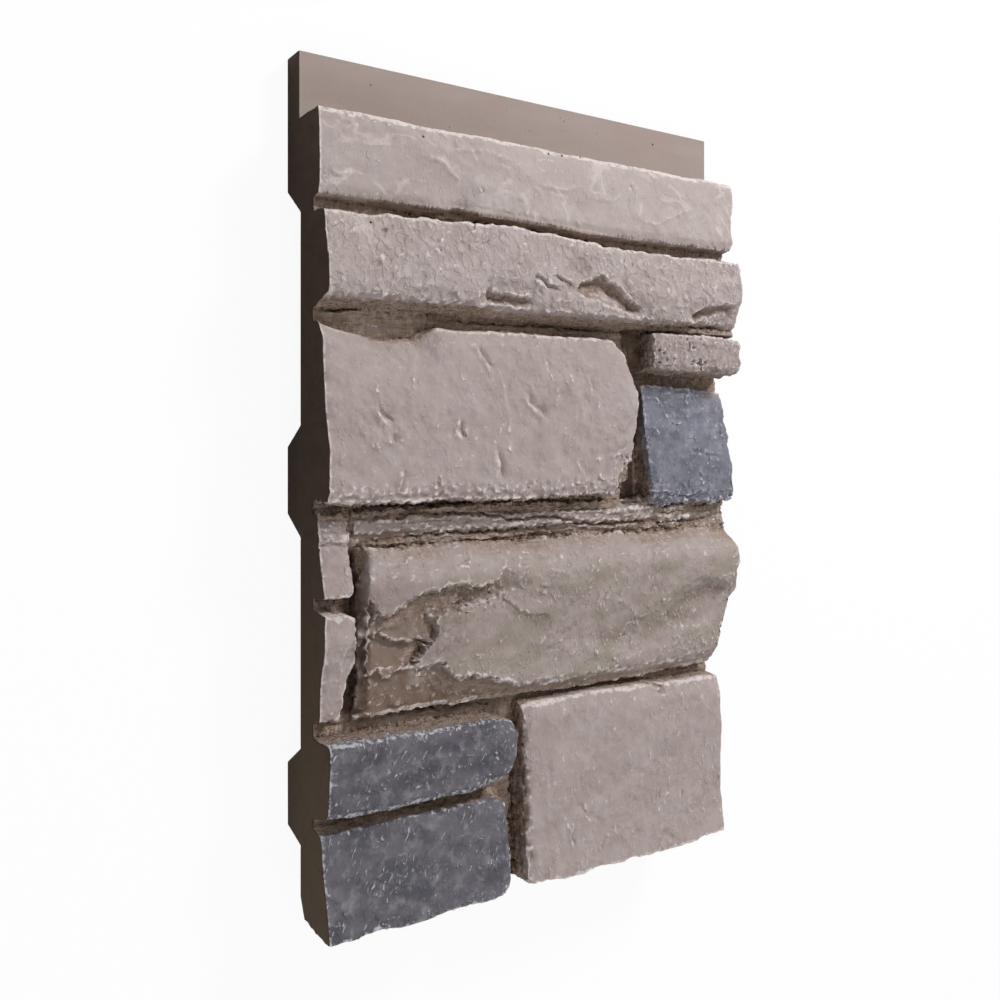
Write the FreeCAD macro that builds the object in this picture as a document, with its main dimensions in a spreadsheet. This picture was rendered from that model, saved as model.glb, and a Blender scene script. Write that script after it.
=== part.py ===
import FreeCAD, Part
import os
import Sketcher

# A moulded faux stone wall panel, one casting of rigid foam.
# The face shows five courses of split ledge stone. The back has three ribs that
# bear on the wall, and a lip along the top edge slips behind the panel above.
#
# The body's own axes: X runs along the courses from the flat cut end, Y runs up
# the wall from the lowest edge, and Z runs out of the wall from the rib backs.
# The body is then centred over its footprint, as it lies on its ribs.

DRIVING_SIZES = [
    ("panel_width", 254.0, "length along the courses"),
    ("course_one", 38.0, "height of the top course"),
    ("joint_one_two", 6.0, "joint between the first and second course"),
    ("course_two", 38.0, "height of the second course"),
    ("joint_two_three", 12.0, "joint between the second and third course"),
    ("course_three", 79.0, "height of the large stone in the third course"),
    ("ledge_band", 22.0, "height of the thin ledges below the third course"),
    ("course_four", 75.0, "height of the rough stone in the fourth course"),
    ("joint_four_five", 7.0, "joint between the fourth and fifth course"),
    ("course_five", 86.0, "height of the bottom course"),
    ("slate_joint", 8.0, "joint between the two slates at the cut end"),
    ("lower_slate", 45.0, "height of the lower slate"),
    ("grey_stone", 62.0, "height of the grey stone"),
    ("pitted_stone", 20.0, "height of the pitted stone"),
    ("upper_end_stone", 35.5, "height of the upper small stone at the cut end"),
    ("lower_end_stone", 47.0, "height of the lower small stone at the cut end"),
    ("lip_height", 31.0, "how far the top lip stands above the first course"),
    ("lip_thickness", 13.5, "thickness of the top lip"),
    ("recess_depth", 15.5, "depth of the hollows between the ribs"),
    ("joint_bed", 29.0, "how far the beds of the joints stand off the wall"),
    ("deep_joint_bed", 23.0, "bed of the deepest joint, above the grey stone"),
    ("deep_joint", 9.0, "height of that deepest joint"),
    ("top_rail", 62.0, "height of the flat back of the top rail"),
    ("top_rail_flare", 12.0, "slope below the top rail"),
    ("middle_rib", 31.0, "height of the flat back of the middle rib"),
    ("middle_rib_base", 183.0, "middle rib's lower edge above the lowest edge"),
    ("lower_rib", 29.0, "height of the flat back of the lower rib"),
    ("rib_flare", 10.0, "slope beside a rib"),
    ("lap_height", 34.0, "hollow below the ribs that takes the lip below"),
    ("lap_flare", 5.0, "slope between that hollow and the lower rib"),
    ("back_chamfer", 9.0, "height of the chamfer on the bottom back edge"),
    ("edge_draft", 2.0, "draft of the bottom edge behind the stone faces"),
    ("stagger", 15.0, "how far the lower courses stop short of the end"),
    ("stagger_height", 122.0, "height of the staggered part of the end"),
    ("narrow_joint", 6.0, "width of the upright joint beside the upper slate"),
    ("upright_joint", 10.0, "width of the upright joint beside the lower slate"),
    ("wide_joint", 13.5, "width of the upright joint beside the large stone"),
    ("lower_slate_length", 96.0, "length of the lower slate"),
    ("upper_end_length", 14.5, "length of the upper small stone at the cut end"),
    ("lower_end_length", 16.0, "length of the lower small stone at the cut end"),
    ("end_joint", 2.5, "width of the joint beside the lower small stone"),
    ("large_stone", 176.0, "length of the large third stone"),
    ("face_one", 36.0, "stand-off of the first course's face"),
    ("face_two", 44.0, "stand-off of the second course's face"),
    ("face_sliver", 36.5, "stand-off of the sliver above the pitted stone"),
    ("face_three", 43.0, "stand-off of the large stone's face"),
    ("face_pitted", 42.5, "stand-off of the pitted stone's face"),
    ("face_grey", 35.0, "stand-off of the grey stone's face"),
    ("face_ledge", 32.0, "stand-off of the thin ledges"),
    ("face_four", 41.0, "stand-off of the fourth course's face"),
    ("face_five", 42.5, "stand-off of the bottom course's face"),
    ("face_slate", 45.0, "stand-off of the slates' faces"),
    ("root", 3.0, "how far each stone is rooted behind its bed"),
]

# Heights of the courses, stacked from the lowest edge up.
LINES = {"five_base": "0", "five_top": "Sizes.course_five"}
LINES["four_base"] = LINES["five_top"] + " + Sizes.joint_four_five"
LINES["four_top"] = LINES["four_base"] + " + Sizes.course_four"
LINES["three_base"] = LINES["four_top"] + " + Sizes.ledge_band"
LINES["three_top"] = LINES["three_base"] + " + Sizes.course_three"
LINES["two_base"] = LINES["three_top"] + " + Sizes.joint_two_three"
LINES["two_top"] = LINES["two_base"] + " + Sizes.course_two"
LINES["one_base"] = LINES["two_top"] + " + Sizes.joint_one_two"
LINES["one_top"] = LINES["one_base"] + " + Sizes.course_one"
LINES["panel_top"] = LINES["one_top"] + " + Sizes.lip_height"
LINES["slate_top"] = "Sizes.lower_slate"
LINES["upper_slate_base"] = LINES["slate_top"] + " + Sizes.slate_joint"
LINES["ledge_base"] = LINES["four_top"] + " + 0.5"
LINES["ledge_top"] = LINES["three_base"] + " - 5"
LINES["grey_base"] = LINES["three_base"] + " - 6"
LINES["grey_top"] = LINES["grey_base"] + " + Sizes.grey_stone"
LINES["pitted_base"] = LINES["grey_top"] + " + Sizes.deep_joint"
LINES["pitted_top"] = LINES["pitted_base"] + " + Sizes.pitted_stone"
LINES["sliver_base"] = LINES["pitted_top"] + " + 1.5"
LINES["sliver_top"] = LINES["two_base"] + " - 0.5"
LINES["end_low_base"] = LINES["four_base"] + " + 1"
LINES["end_low_top"] = LINES["end_low_base"] + " + Sizes.lower_end_stone"
LINES["end_high_top"] = LINES["three_base"] + " - 6"
LINES["end_high_base"] = LINES["end_high_top"] + " - Sizes.upper_end_stone"

# Places along the courses, from the flat cut end.
ENDS = {
    "cut_end": "0",
    "far_end": "Sizes.panel_width",
    "staggered_end": "Sizes.panel_width - Sizes.stagger",
    "lower_slate_end": "Sizes.lower_slate_length",
    "after_slates": "Sizes.lower_slate_length + Sizes.upright_joint",
    "upper_end": "Sizes.upper_end_length",
    "lower_end": "Sizes.lower_end_length",
    "after_end_stones": "Sizes.lower_end_length + Sizes.end_joint",
    "large_end": "Sizes.large_stone",
    "after_large": "Sizes.large_stone + Sizes.wide_joint",
}
ENDS["upper_slate_end"] = ENDS["after_slates"] + " - Sizes.narrow_joint"

# Each stone runs from one end to the other between a base and a top line. The
# spread is how far its root stands out beyond its base and its top edge. The
# levels are shares of its height. A station is cut across the stone at a share
# of its length: how far base and top leave their lines there, in millimetres,
# and how far each level stands in front of or behind the stone's face. The
# rough stone's torn edges run across it, so each of its stations has its own
# levels, in pairs with how far they stand out.
STONES = {
    "first_course": {
        "ends": ("cut_end", "far_end"), "lines": ("one_base", "one_top"),
        "face": "face_one", "spread": (2.0, 0.0),
        "levels": (0.0, 0.12, 0.35, 0.7, 0.93, 1.0),
        "stations": [
            (0.000, 0.0, 0.0, (-1.5, 0.2, 0.5, 0.4, -1.0, -2.0)),
            (0.120, 0.5, 0.0, (-1.5, 0.6, 0.9, 0.2, -0.6, -1.6)),
            (0.240, 0.0, 0.0, (-1.2, 0.4, 0.3, 0.8, -0.8, -2.0)),
            (0.285, 3.0, 0.0, (-2.5, -0.5, 0.6, 0.2, -0.9, -1.8)),
            (0.330, 0.0, 0.0, (-1.2, 0.3, 1.0, 0.6, -0.5, -1.6)),
            (0.550, -1.0, 0.0, (-1.4, 0.5, 0.2, 1.0, -0.8, -2.2)),
            (0.780, -0.5, 0.0, (-1.0, 0.8, 1.0, 0.3, -0.4, -1.8)),
            (1.000, 0.5, 0.0, (-2.0, 0.0, 0.8, 0.2, -0.8, -2.0)),
        ],
    },
    "second_course": {
        "ends": ("cut_end", "far_end"), "lines": ("two_base", "two_top"),
        "face": "face_two", "spread": (6.5, 0.5),
        "levels": (0.0, 0.15, 0.35, 0.6, 0.9, 1.0),
        "stations": [
            (0.000, 0.0, -2.0, (1.5, 2.7, 2.0, -0.4, -2.5, -3.5)),
            (0.110, 0.5, -1.0, (0.5, 2.0, 1.6, 0.6, -2.0, -3.5)),
            (0.300, 0.5, 0.5, (-0.5, 2.2, 1.6, 0.0, -2.5, -4.0)),
            (0.350, 0.5, 1.3, (-3.0, -2.5, 1.8, 0.8, -2.2, -4.0)),
            (0.440, 0.0, 1.3, (-1.5, -0.5, 1.6, 0.4, -2.2, -4.0)),
            (0.485, 0.0, 0.8, (1.0, 2.6, 1.0, -0.4, -2.8, -4.5)),
            (0.550, 0.0, 0.0, (1.5, 2.8, -2.5, -4.0, -3.0, -4.5)),
            (0.630, 0.0, -2.0, (1.5, 1.0, -4.0, -1.0, -3.0, -5.0)),
            (0.680, 0.0, -1.8, (0.5, -2.0, 1.0, 0.4, -2.5, -4.5)),
            (0.730, 0.0, -1.5, (1.0, 2.4, 1.8, 0.4, -2.4, -4.0)),
            (0.870, 1.0, -1.5, (-2.0, -1.6, 1.2, 1.4, -2.0, -4.0)),
            (1.000, 1.5, -2.0, (-5.0, -2.5, 1.3, 0.8, -1.7, -3.5)),
        ],
    },
    "large_stone": {
        "ends": ("cut_end", "large_end"), "lines": ("three_base", "three_top"),
        "face": "face_three", "spread": (1.0, 2.0),
        "levels": (0.0, 0.05, 0.3, 0.5, 0.75, 0.92, 1.0),
        "stations": [
            (0.000, 1.0, -0.5, (2.2, 3.7, 3.7, -0.5, -3.0, -4.0, -7.5)),
            (0.050, 0.5, -3.5, (2.0, 3.5, 3.4, 0.6, -2.0, -5.0, -8.5)),
            (0.150, 0.0, -6.5, (2.2, 3.4, 3.0, 1.6, -1.0, -5.0, -9.5)),
            (0.270, 0.0, -6.0, (1.8, 3.6, 2.4, 1.8, -0.4, -4.0, -9.0)),
            (0.330, 0.5, -0.5, (1.8, 3.2, 2.8, 1.4, 0.0, -2.0, -6.0)),
            (0.500, 0.0, 0.0, (1.6, 3.0, 3.4, 2.2, 0.4, -1.4, -5.0)),
            (0.690, 0.0, 0.3, (1.4, 2.8, 3.0, 2.4, 1.0, -1.6, -5.0)),
            (0.860, 0.5, 0.5, (0.4, 1.8, 2.8, 2.4, 0.8, -1.4, -4.6)),
            (0.925, 0.5, 0.0, (-1.0, 0.6, 2.2, 2.4, 0.6, -1.8, -4.8)),
            (0.965, 8.0, -7.0, (-1.0, 0.4, 1.8, 2.0, 0.4, -1.4, -2.6)),
            (1.000, 34.0, -26.0, (-0.6, -0.4, -0.2, 0.0, -0.2, -0.6, -1.4)),
        ],
    },
    "sliver": {
        "ends": ("after_large", "far_end"), "lines": ("sliver_base", "sliver_top"),
        "face": "face_sliver", "spread": (0.2, 0.2),
        "levels": (0.0, 1.0),
        "stations": [
            (0.000, 0.5, 0.0, (-1.0, -1.5)),
            (0.450, 0.0, -0.6, (0.3, 0.0)),
            (1.000, 0.0, 0.0, (0.0, -0.5)),
        ],
    },
    "pitted_stone": {
        "ends": ("after_large", "far_end"), "lines": ("pitted_base", "pitted_top"),
        "face": "face_pitted", "bed": "deep_joint_bed", "spread": (2.0, 0.5),
        "levels": (0.0, 0.15, 0.5, 0.85, 1.0),
        "stations": [
            (0.000, 1.5, -1.0, (-2.0, -1.0, -0.6, -1.0, -2.5)),
            (0.080, 0.5, -0.5, (-0.8, 0.6, 0.8, 0.4, -1.4)),
            (0.500, 0.0, 0.0, (-0.6, 0.6, 1.2, 0.8, -1.2)),
            (0.900, 0.0, -0.5, (-1.0, 0.8, 0.4, 0.8, -1.6)),
            (1.000, 0.5, -1.0, (-2.0, 0.0, 0.2, 0.0, -2.5)),
        ],
    },
    "grey_stone": {
        "ends": ("after_large", "far_end"), "lines": ("grey_base", "grey_top"),
        "face": "face_grey", "bed": "deep_joint_bed", "spread": (0.5, 1.0),
        "levels": (0.0, 0.06, 0.3, 0.5, 0.8, 1.0),
        "stations": [
            (0.000, 40.0, 0.0, (-1.0, -1.4, -1.8, -2.2, -3.6, -5.4)),
            (0.070, 1.0, 0.5, (0.2, 1.4, 0.6, 0.0, -2.5, -5.0)),
            (0.120, 0.0, 0.5, (1.0, 2.4, 1.6, 0.8, -2.0, -4.6)),
            (0.500, 0.0, 0.0, (1.4, 3.0, 2.0, 0.5, -2.5, -5.0)),
            (0.960, 0.0, -0.5, (1.2, 2.9, 1.6, -0.8, -4.6, -8.0)),
            (1.000, 1.5, -1.0, (-0.5, 1.5, 0.6, -1.6, -5.6, -9.0)),
        ],
    },
    "thin_ledges": {
        "ends": ("after_end_stones", "far_end"), "lines": ("ledge_base", "ledge_top"),
        "face": "face_ledge", "spread": (0.0, 1.0),
        "levels": (0.0, 0.35, 0.42, 0.72, 0.8, 1.0),
        "stations": [
            (0.000, 0.5, -1.0, (-2.4, -2.0, 0.0, 0.6, -0.6, -1.0)),
            (0.150, 0.0, 0.0, (-2.2, -1.6, 0.8, 1.4, 0.0, -0.6)),
            (0.400, 0.0, 1.0, (-2.4, -1.8, 1.4, 1.6, 0.6, 0.0)),
            (0.620, 0.0, 0.0, (-2.4, -1.4, 0.8, 2.2, 0.2, -0.4)),
            (0.820, 0.0, 0.5, (-2.6, -2.0, 0.0, 0.4, -1.0, -1.6)),
            (1.000, 0.0, 0.0, (-4.6, -4.4, -3.4, -3.0, -4.0, -4.4)),
        ],
    },
    "upper_end_stone": {
        "ends": ("cut_end", "upper_end"), "lines": ("end_high_base", "end_high_top"),
        "face": "face_four", "spread": (2.0, 1.0),
        "levels": (0.0, 0.35, 0.65, 1.0),
        "stations": [
            (0.000, 0.0, 0.0, (0.5, -4.0, -6.0, -7.0)),
            (0.850, 0.0, -0.5, (0.5, -3.6, -5.6, -7.0)),
            (1.000, 1.5, -1.5, (-1.5, -5.0, -6.6, -8.0)),
        ],
    },
    "lower_end_stone": {
        "ends": ("cut_end", "lower_end"), "lines": ("end_low_base", "end_low_top"),
        "face": "face_four", "spread": (1.5, 1.0),
        "levels": (0.0, 0.4, 0.58, 0.8, 1.0),
        "stations": [
            (0.000, 0.0, 0.0, (-5.0, -3.8, -0.6, 0.5, 1.5)),
            (0.620, 0.0, 0.0, (-5.0, -4.0, -0.6, 0.5, 0.5)),
            (0.720, 12.0, -0.5, (-4.6, -4.0, -0.6, 0.5, 0.0)),
            (1.000, 27.0, -3.0, (-3.0, -2.4, -1.6, -1.4, -2.4)),
        ],
    },
    "rough_stone": {
        "ends": ("after_end_stones", "far_end"), "lines": ("four_base", "four_top"),
        "face": "face_four", "spread": (1.0, 0.5),
        "stations": [
            (0.000, 0.0, -0.5, (
                (0, -8), (0.02, -7.6), (0.148, -6.4), (0.201, -6.2), (0.242, -4.6),
                (0.322, -5.8), (0.389, -6), (0.481, -5.4), (0.51, -3.2), (0.557, -4.4),
                (0.591, -5.2), (0.644, -6.2), (0.846, -6), (1, -9),
            )),
            (0.023, 0.0, 0.0, (
                (0, -7.5), (0.027, -7), (0.16, -5.8), (0.227, -5.4), (0.261, -3),
                (0.333, -5), (0.4, -5.4), (0.483, -5), (0.507, -2.2), (0.547, -3),
                (0.613, -3.2), (0.66, 1), (0.847, 1.4), (1, -6.5),
            )),
            (0.066, 0.0, 0.0, (
                (0, -7), (0.027, -6.8), (0.133, -5), (0.203, -5.2), (0.232, -2.8),
                (0.28, -4.6), (0.347, -5), (0.429, -5), (0.453, -1.8), (0.507, -2.4),
                (0.592, -3.4), (0.631, 2.4), (0.847, 1.8), (1, -6.5),
            )),
            (0.117, 0.0, 0.0, (
                (0, -6.8), (0.027, -6.2), (0.2, -2), (0.273, 0), (0.307, 0.2),
                (0.333, -5.4), (0.373, -5.8), (0.419, -5.6), (0.445, -1.4), (0.547, -2.2),
                (0.68, -3), (0.727, 3.2), (0.853, 2), (1, -6.5),
            )),
            (0.159, 0.0, 0.0, (
                (0, -6.6), (0.02, -6), (0.261, -2.4), (0.296, 1.4), (0.347, 2),
                (0.4, 2), (0.453, 1.2), (0.507, 1), (0.573, 1.2), (0.611, -2.6),
                (0.717, -2.4), (0.749, 3.6), (0.853, 2.2), (1, -6.5),
            )),
            (0.210, 0.0, 0.0, (
                (0, -6.4), (0.02, -5.8), (0.163, -3), (0.195, 1.8), (0.267, 2.6),
                (0.347, 2.8), (0.427, 2.8), (0.507, 2.4), (0.587, 1.6), (0.616, -1.6),
                (0.733, -2), (0.764, 3.8), (0.853, 2.4), (1, -6.5),
            )),
            (0.278, 0.0, 0.0, (
                (0, -6.2), (0.02, -5.6), (0.12, -2.8), (0.165, 2.4), (0.253, 3),
                (0.347, 3.2), (0.44, 3.2), (0.533, 3), (0.645, 2.4), (0.667, -0.6),
                (0.728, -1.4), (0.76, 3.5), (0.853, 2.4), (1, -6.5),
            )),
            (0.316, 0.0, 0.0, (
                (0, -6), (0.02, -5.4), (0.087, -2.2), (0.125, 2.2), (0.227, 3),
                (0.333, 3.2), (0.44, 3.2), (0.547, 3), (0.667, 2.6), (0.693, 2.6),
                (0.74, 2.8), (0.78, 3.2), (0.853, 2.5), (1, -6.5),
            )),
            (0.410, 0.0, 0.0, (
                (0, -5.6), (0.013, -5), (0.06, -2), (0.099, 1.6), (0.2, 2.8),
                (0.333, 3.2), (0.44, 3.2), (0.547, 3.4), (0.653, 3.3), (0.707, 3.2),
                (0.76, 3), (0.8, 2.8), (0.853, 2.4), (1, -6.5),
            )),
            (0.558, -1.5, 0.0, (
                (0, -5.4), (0.033, -4.6), (0.072, -2), (0.101, 0.8), (0.216, 1.4),
                (0.32, 0.4), (0.425, 2.2), (0.529, 3), (0.634, 3.2), (0.712, 3.2),
                (0.765, 3), (0.804, 2.9), (0.856, 2.4), (1, -6.5),
            )),
            (0.652, -1.5, 0.0, (
                (0, -5.4), (0.033, -4.8), (0.072, -2.2), (0.103, 0.2), (0.19, 1.4),
                (0.316, 0), (0.425, 2.2), (0.503, 2.8), (0.608, 3), (0.673, 3),
                (0.752, 2.9), (0.804, 2.9), (0.856, 2.4), (1, -6.5),
            )),
            (0.749, -1.0, 0.0, (
                (0, -5.8), (0.033, -5.2), (0.072, -2.6), (0.105, -0.4), (0.193, 1.8),
                (0.263, 2.2), (0.355, 2.4), (0.421, 2.4), (0.5, 2.6), (0.592, 3),
                (0.658, 3.2), (0.763, 2.8), (0.855, 2), (1, -7),
            )),
            (0.792, 0.0, -0.4, (
                (0, -6), (0.027, -5.6), (0.067, -3), (0.099, -0.8), (0.188, 1.4),
                (0.268, 2), (0.319, 2.3), (0.367, 0), (0.429, 0.4), (0.501, 1),
                (0.595, 3.4), (0.737, 2.9), (0.858, 1.8), (1, -7.2),
            )),
            (0.864, 0.0, -0.6, (
                (0, -6), (0.027, -5.8), (0.074, -3.4), (0.11, -1.2), (0.188, 1),
                (0.255, 1.4), (0.309, 1.4), (0.36, -0.4), (0.457, -0.8), (0.562, -1.2),
                (0.672, 3.3), (0.753, 2.8), (0.86, 1.6), (1, -7.4),
            )),
            (0.920, 1.0, -0.5, (
                (0, -6.4), (0.027, -6), (0.075, -3.8), (0.109, -1.8), (0.19, 0.4),
                (0.259, 0.4), (0.327, 0), (0.377, -1), (0.463, -1.4), (0.558, -2),
                (0.637, 2.2), (0.735, 2.2), (0.857, 1.2), (1, -8),
            )),
            (0.935, 20.0, -0.8, (
                (0, -6), (0.018, -5.4), (0.037, -4.4), (0.055, -3), (0.092, -1.6),
                (0.129, -1.2), (0.166, -1), (0.221, -1.6), (0.314, -1.8), (0.406, -2),
                (0.506, 2), (0.646, 2), (0.812, 1), (1, -9.4),
            )),
            (0.970, 33.0, -1.4, (
                (0, -4.6), (0.025, -4), (0.049, -3.4), (0.074, -3), (0.099, -2.8),
                (0.135, -2.8), (0.172, -2.8), (0.209, -2.8), (0.246, -2), (0.283, -0.5),
                (0.33, 1.3), (0.517, 1.6), (0.764, 0.4), (1, -10),
            )),
            (1.000, 39.0, -2.0, (
                (0, -3.4), (0.044, -2.4), (0.088, -1.6), (0.132, -1), (0.176, -0.4),
                (0.221, 0), (0.265, 0.4), (0.309, 0.8), (0.353, 1), (0.412, 1.2),
                (0.471, 1.2), (0.559, 1), (0.735, -0.6), (1, -11),
            )),
        ],
    },
    "upper_slate": {
        "ends": ("cut_end", "upper_slate_end"), "lines": ("upper_slate_base", "five_top"),
        "face": "face_slate", "spread": (4.0, 1.0),
        "levels": (0.0, 0.1, 0.5, 0.9, 1.0),
        "stations": [
            (0.000, 1.0, -1.0, (-1.0, 0.4, 1.7, 2.3, 1.4)),
            (0.180, 0.0, -1.0, (-1.2, 0.4, 1.5, 2.0, 0.8)),
            (0.450, 0.0, -1.5, (-1.6, 0.2, 1.7, 1.8, 0.4)),
            (0.750, 0.5, -1.5, (-2.0, 0.0, 1.3, 1.0, -0.6)),
            (0.900, 2.0, -2.0, (-2.6, -0.8, 0.8, 0.4, -1.4)),
            (0.965, 5.0, -4.0, (-3.0, -1.4, 0.0, -0.6, -2.4)),
            (1.000, 11.0, -10.0, (-3.0, -2.4, -2.0, -2.2, -3.0)),
        ],
    },
    "lower_slate_stone": {
        "ends": ("cut_end", "lower_slate_end"), "lines": ("five_base", "slate_top"),
        "face": "face_slate", "spread": (-1.5, 3.5),
        "levels": (0.0, 0.2, 0.45, 0.7, 0.93, 1.0),
        "stations": [
            (0.000, 0.0, -1.0, (1.7, 0.6, -2.5, -5.6, -6.8, -8.0)),
            (0.400, 0.0, 0.0, (1.5, 0.4, -1.5, -4.0, -5.6, -7.0)),
            (0.720, 0.0, 0.0, (1.2, 0.4, -1.2, -3.4, -5.0, -6.6)),
            (0.940, 0.0, -0.5, (0.0, -0.4, -1.6, -3.6, -5.4, -6.8)),
            (1.000, 3.0, -4.0, (-2.4, -2.2, -3.0, -4.6, -6.6, -8.0)),
        ],
    },
    "bottom_stone": {
        "ends": ("after_slates", "staggered_end"), "lines": ("five_base", "five_top"),
        "face": "face_five", "spread": (-1.5, 0.5),
        "levels": (0.0, 0.12, 0.35, 0.7, 0.93, 1.0),
        "stations": [
            (0.000, 0.5, 1.0, (1.0, 0.5, -1.0, -1.6, -2.4, -4.0)),
            (0.030, 0.0, 2.0, (3.0, 1.6, 0.2, -0.4, -1.2, -3.0)),
            (0.300, 0.0, 3.0, (3.8, 2.2, 0.8, 0.2, -0.8, -3.0)),
            (0.550, 0.0, 2.0, (4.2, 1.8, 0.2, 0.8, -0.4, -3.6)),
            (0.800, 0.0, 0.5, (3.8, 1.4, 0.6, 0.2, -1.0, -3.6)),
            (0.970, 0.0, 0.0, (3.2, 1.2, -0.2, 0.4, -1.2, -4.0)),
            (1.000, 0.5, -0.5, (1.4, 0.2, -1.2, -0.8, -2.4, -5.0)),
        ],
    },
}

ORIGIN_POINT = -1, 1
START_POINT = 1


def fill_sheet(doc):
    """Write each driving size and what it means into the sheet, with an alias."""
    sheet = doc.addObject("Spreadsheet::Sheet", "Sizes")
    for row, (name, value, meaning) in enumerate(DRIVING_SIZES, start=1):
        sheet.set(f"A{row}", name)
        sheet.set(f"B{row}", str(value))
        sheet.set(f"C{row}", meaning)
        sheet.setAlias(f"B{row}", name)
    doc.recompute()
    return sheet


def origin_plane(body, role):
    """Return one of the body's own base planes."""
    return next(plane for plane in body.Origin.OriginFeatures if plane.Role == role)


def closed_sketch(body, sheet, name, role, corners, stand_off):
    """Draw a closed polygon whose corners are held to the sheet by expressions.

    corners holds a pair of formulas for each corner. They are also worked out
    as numbers, so that the sketch starts where it belongs.
    """
    sketch = body.newObject("Sketcher::SketchObject", name)
    sketch.AttachmentSupport = [(origin_plane(body, role), "")]
    sketch.MapMode = "FlatFace"
    sketch.setExpression("AttachmentOffset.Base.z", stand_off)
    guesses = [[sheet.evalExpression(formula) for formula in corner] for corner in corners]
    points = [FreeCAD.Vector(across, up, 0) for across, up in guesses]
    count = len(points)
    for index in range(count):
        sketch.addGeometry(Part.LineSegment(points[index], points[(index + 1) % count]), False)
    for index in range(count):
        sketch.addConstraint(Sketcher.Constraint("Coincident", index, 2, (index + 1) % count, 1))
    for index, (across, up) in enumerate(corners):
        for kind, formula, value in (
            ("DistanceX", across, guesses[index][0]),
            ("DistanceY", up, guesses[index][1]),
        ):
            rule = Sketcher.Constraint(kind, *ORIGIN_POINT, index, START_POINT, value)
            number = sketch.addConstraint(rule)
            sketch.setExpression(f"Constraints[{number}]", formula)
    return sketch


def line_of(stone, which, offset):
    """Formula of a stone's base or top edge at one station."""
    return f"{LINES[stone['lines'][which]]} + ({offset})"


def draw_station(body, sheet, name, stone, number):
    """Draw the stone's section at one station, as a sketch across the courses."""
    share, base_offset, top_offset, steps = stone["stations"][number]
    left, right = (ENDS[end] for end in stone["ends"])
    base = line_of(stone, 0, base_offset)
    top = line_of(stone, 1, top_offset)
    bed = f"Sizes.{stone.get('bed', 'joint_bed')} - Sizes.root"
    base_spread, top_spread = stone["spread"]
    corners = [(f"{base} - ({base_spread})", bed)]
    for level, step in zip(stone["levels"], steps) if "levels" in stone else steps:
        height = f"({base}) * {1 - level} + ({top}) * {level}"
        corners.append((height, f"Sizes.{stone['face']} + ({step})"))
    corners.append((f"{top} + ({top_spread})", bed))
    place = f"({left}) * {1 - share} + ({right}) * {share}"
    return closed_sketch(body, sheet, f"{name}_{number}", "YZ_Plane", corners, place)


def add_stone(body, sheet, name, stone):
    """Loft a stone through its stations with straight split faces between them."""
    count = len(stone["stations"])
    sections = [draw_station(body, sheet, name, stone, number) for number in range(count)]
    loft = body.newObject("PartDesign::AdditiveLoft", name)
    loft.Profile = sections[0]
    loft.Sections = sections[1:]
    loft.Ruled = True
    return loft


def add_backing(body, sheet):
    """Pad the moulding's own section: web, ribs, lap hollow and top lip."""
    rail = f"{LINES['panel_top']} - Sizes.top_rail"
    web = "Sizes.recess_depth"
    lower = "Sizes.lap_height + Sizes.lap_flare"
    lower_top = f"{lower} + Sizes.lower_rib"
    middle = "Sizes.middle_rib_base"
    middle_top = f"{middle} + Sizes.middle_rib"
    corners = [
        ("Sizes.back_chamfer + Sizes.edge_draft", web),
        ("Sizes.lap_height", web),
        (lower, "0"),
        (lower_top, "0"),
        (f"{lower_top} + Sizes.rib_flare", web),
        (f"{middle} - Sizes.rib_flare", web),
        (middle, "0"),
        (middle_top, "0"),
        (f"{middle_top} + Sizes.rib_flare", web),
        (f"{rail} - Sizes.top_rail_flare", web),
        (rail, "0"),
        (LINES["panel_top"], "0"),
        (LINES["panel_top"], "Sizes.lip_thickness"),
        (LINES["one_top"], "Sizes.lip_thickness"),
        (LINES["one_top"], "Sizes.joint_bed"),
        ("0.25 * Sizes.edge_draft", "Sizes.joint_bed"),
        ("Sizes.edge_draft", f"{web} + 0.5 * Sizes.back_chamfer"),
    ]
    section = closed_sketch(body, sheet, "backing_section", "YZ_Plane", corners, "0")
    pad = body.newObject("PartDesign::Pad", "backing")
    pad.Profile = section
    pad.setExpression("Length", "Sizes.panel_width")
    return pad


def cut_region(body, sheet, name, left, right, base, top, floor):
    """Cut a rectangular region away from a floor level outwards."""
    corners = [(left, base), (right, base), (right, top), (left, top)]
    sketch = closed_sketch(body, sheet, f"{name}_outline", "XY_Plane", corners, floor)
    pocket = body.newObject("PartDesign::Pocket", name)
    pocket.Profile = sketch
    pocket.Type = "ThroughAll"
    pocket.Reversed = True
    return pocket


def check(doc, body):
    """Stop unless every object is sound and the panel is one valid solid."""
    for item in doc.Objects:
        if "Invalid" in item.State or "Error" in item.State:
            raise RuntimeError(f"{item.Name} failed: {item.State}")
    if body.Shape.isNull() or not body.Shape.isValid() or len(body.Shape.Solids) != 1:
        raise RuntimeError("the panel is not one valid solid")


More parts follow.
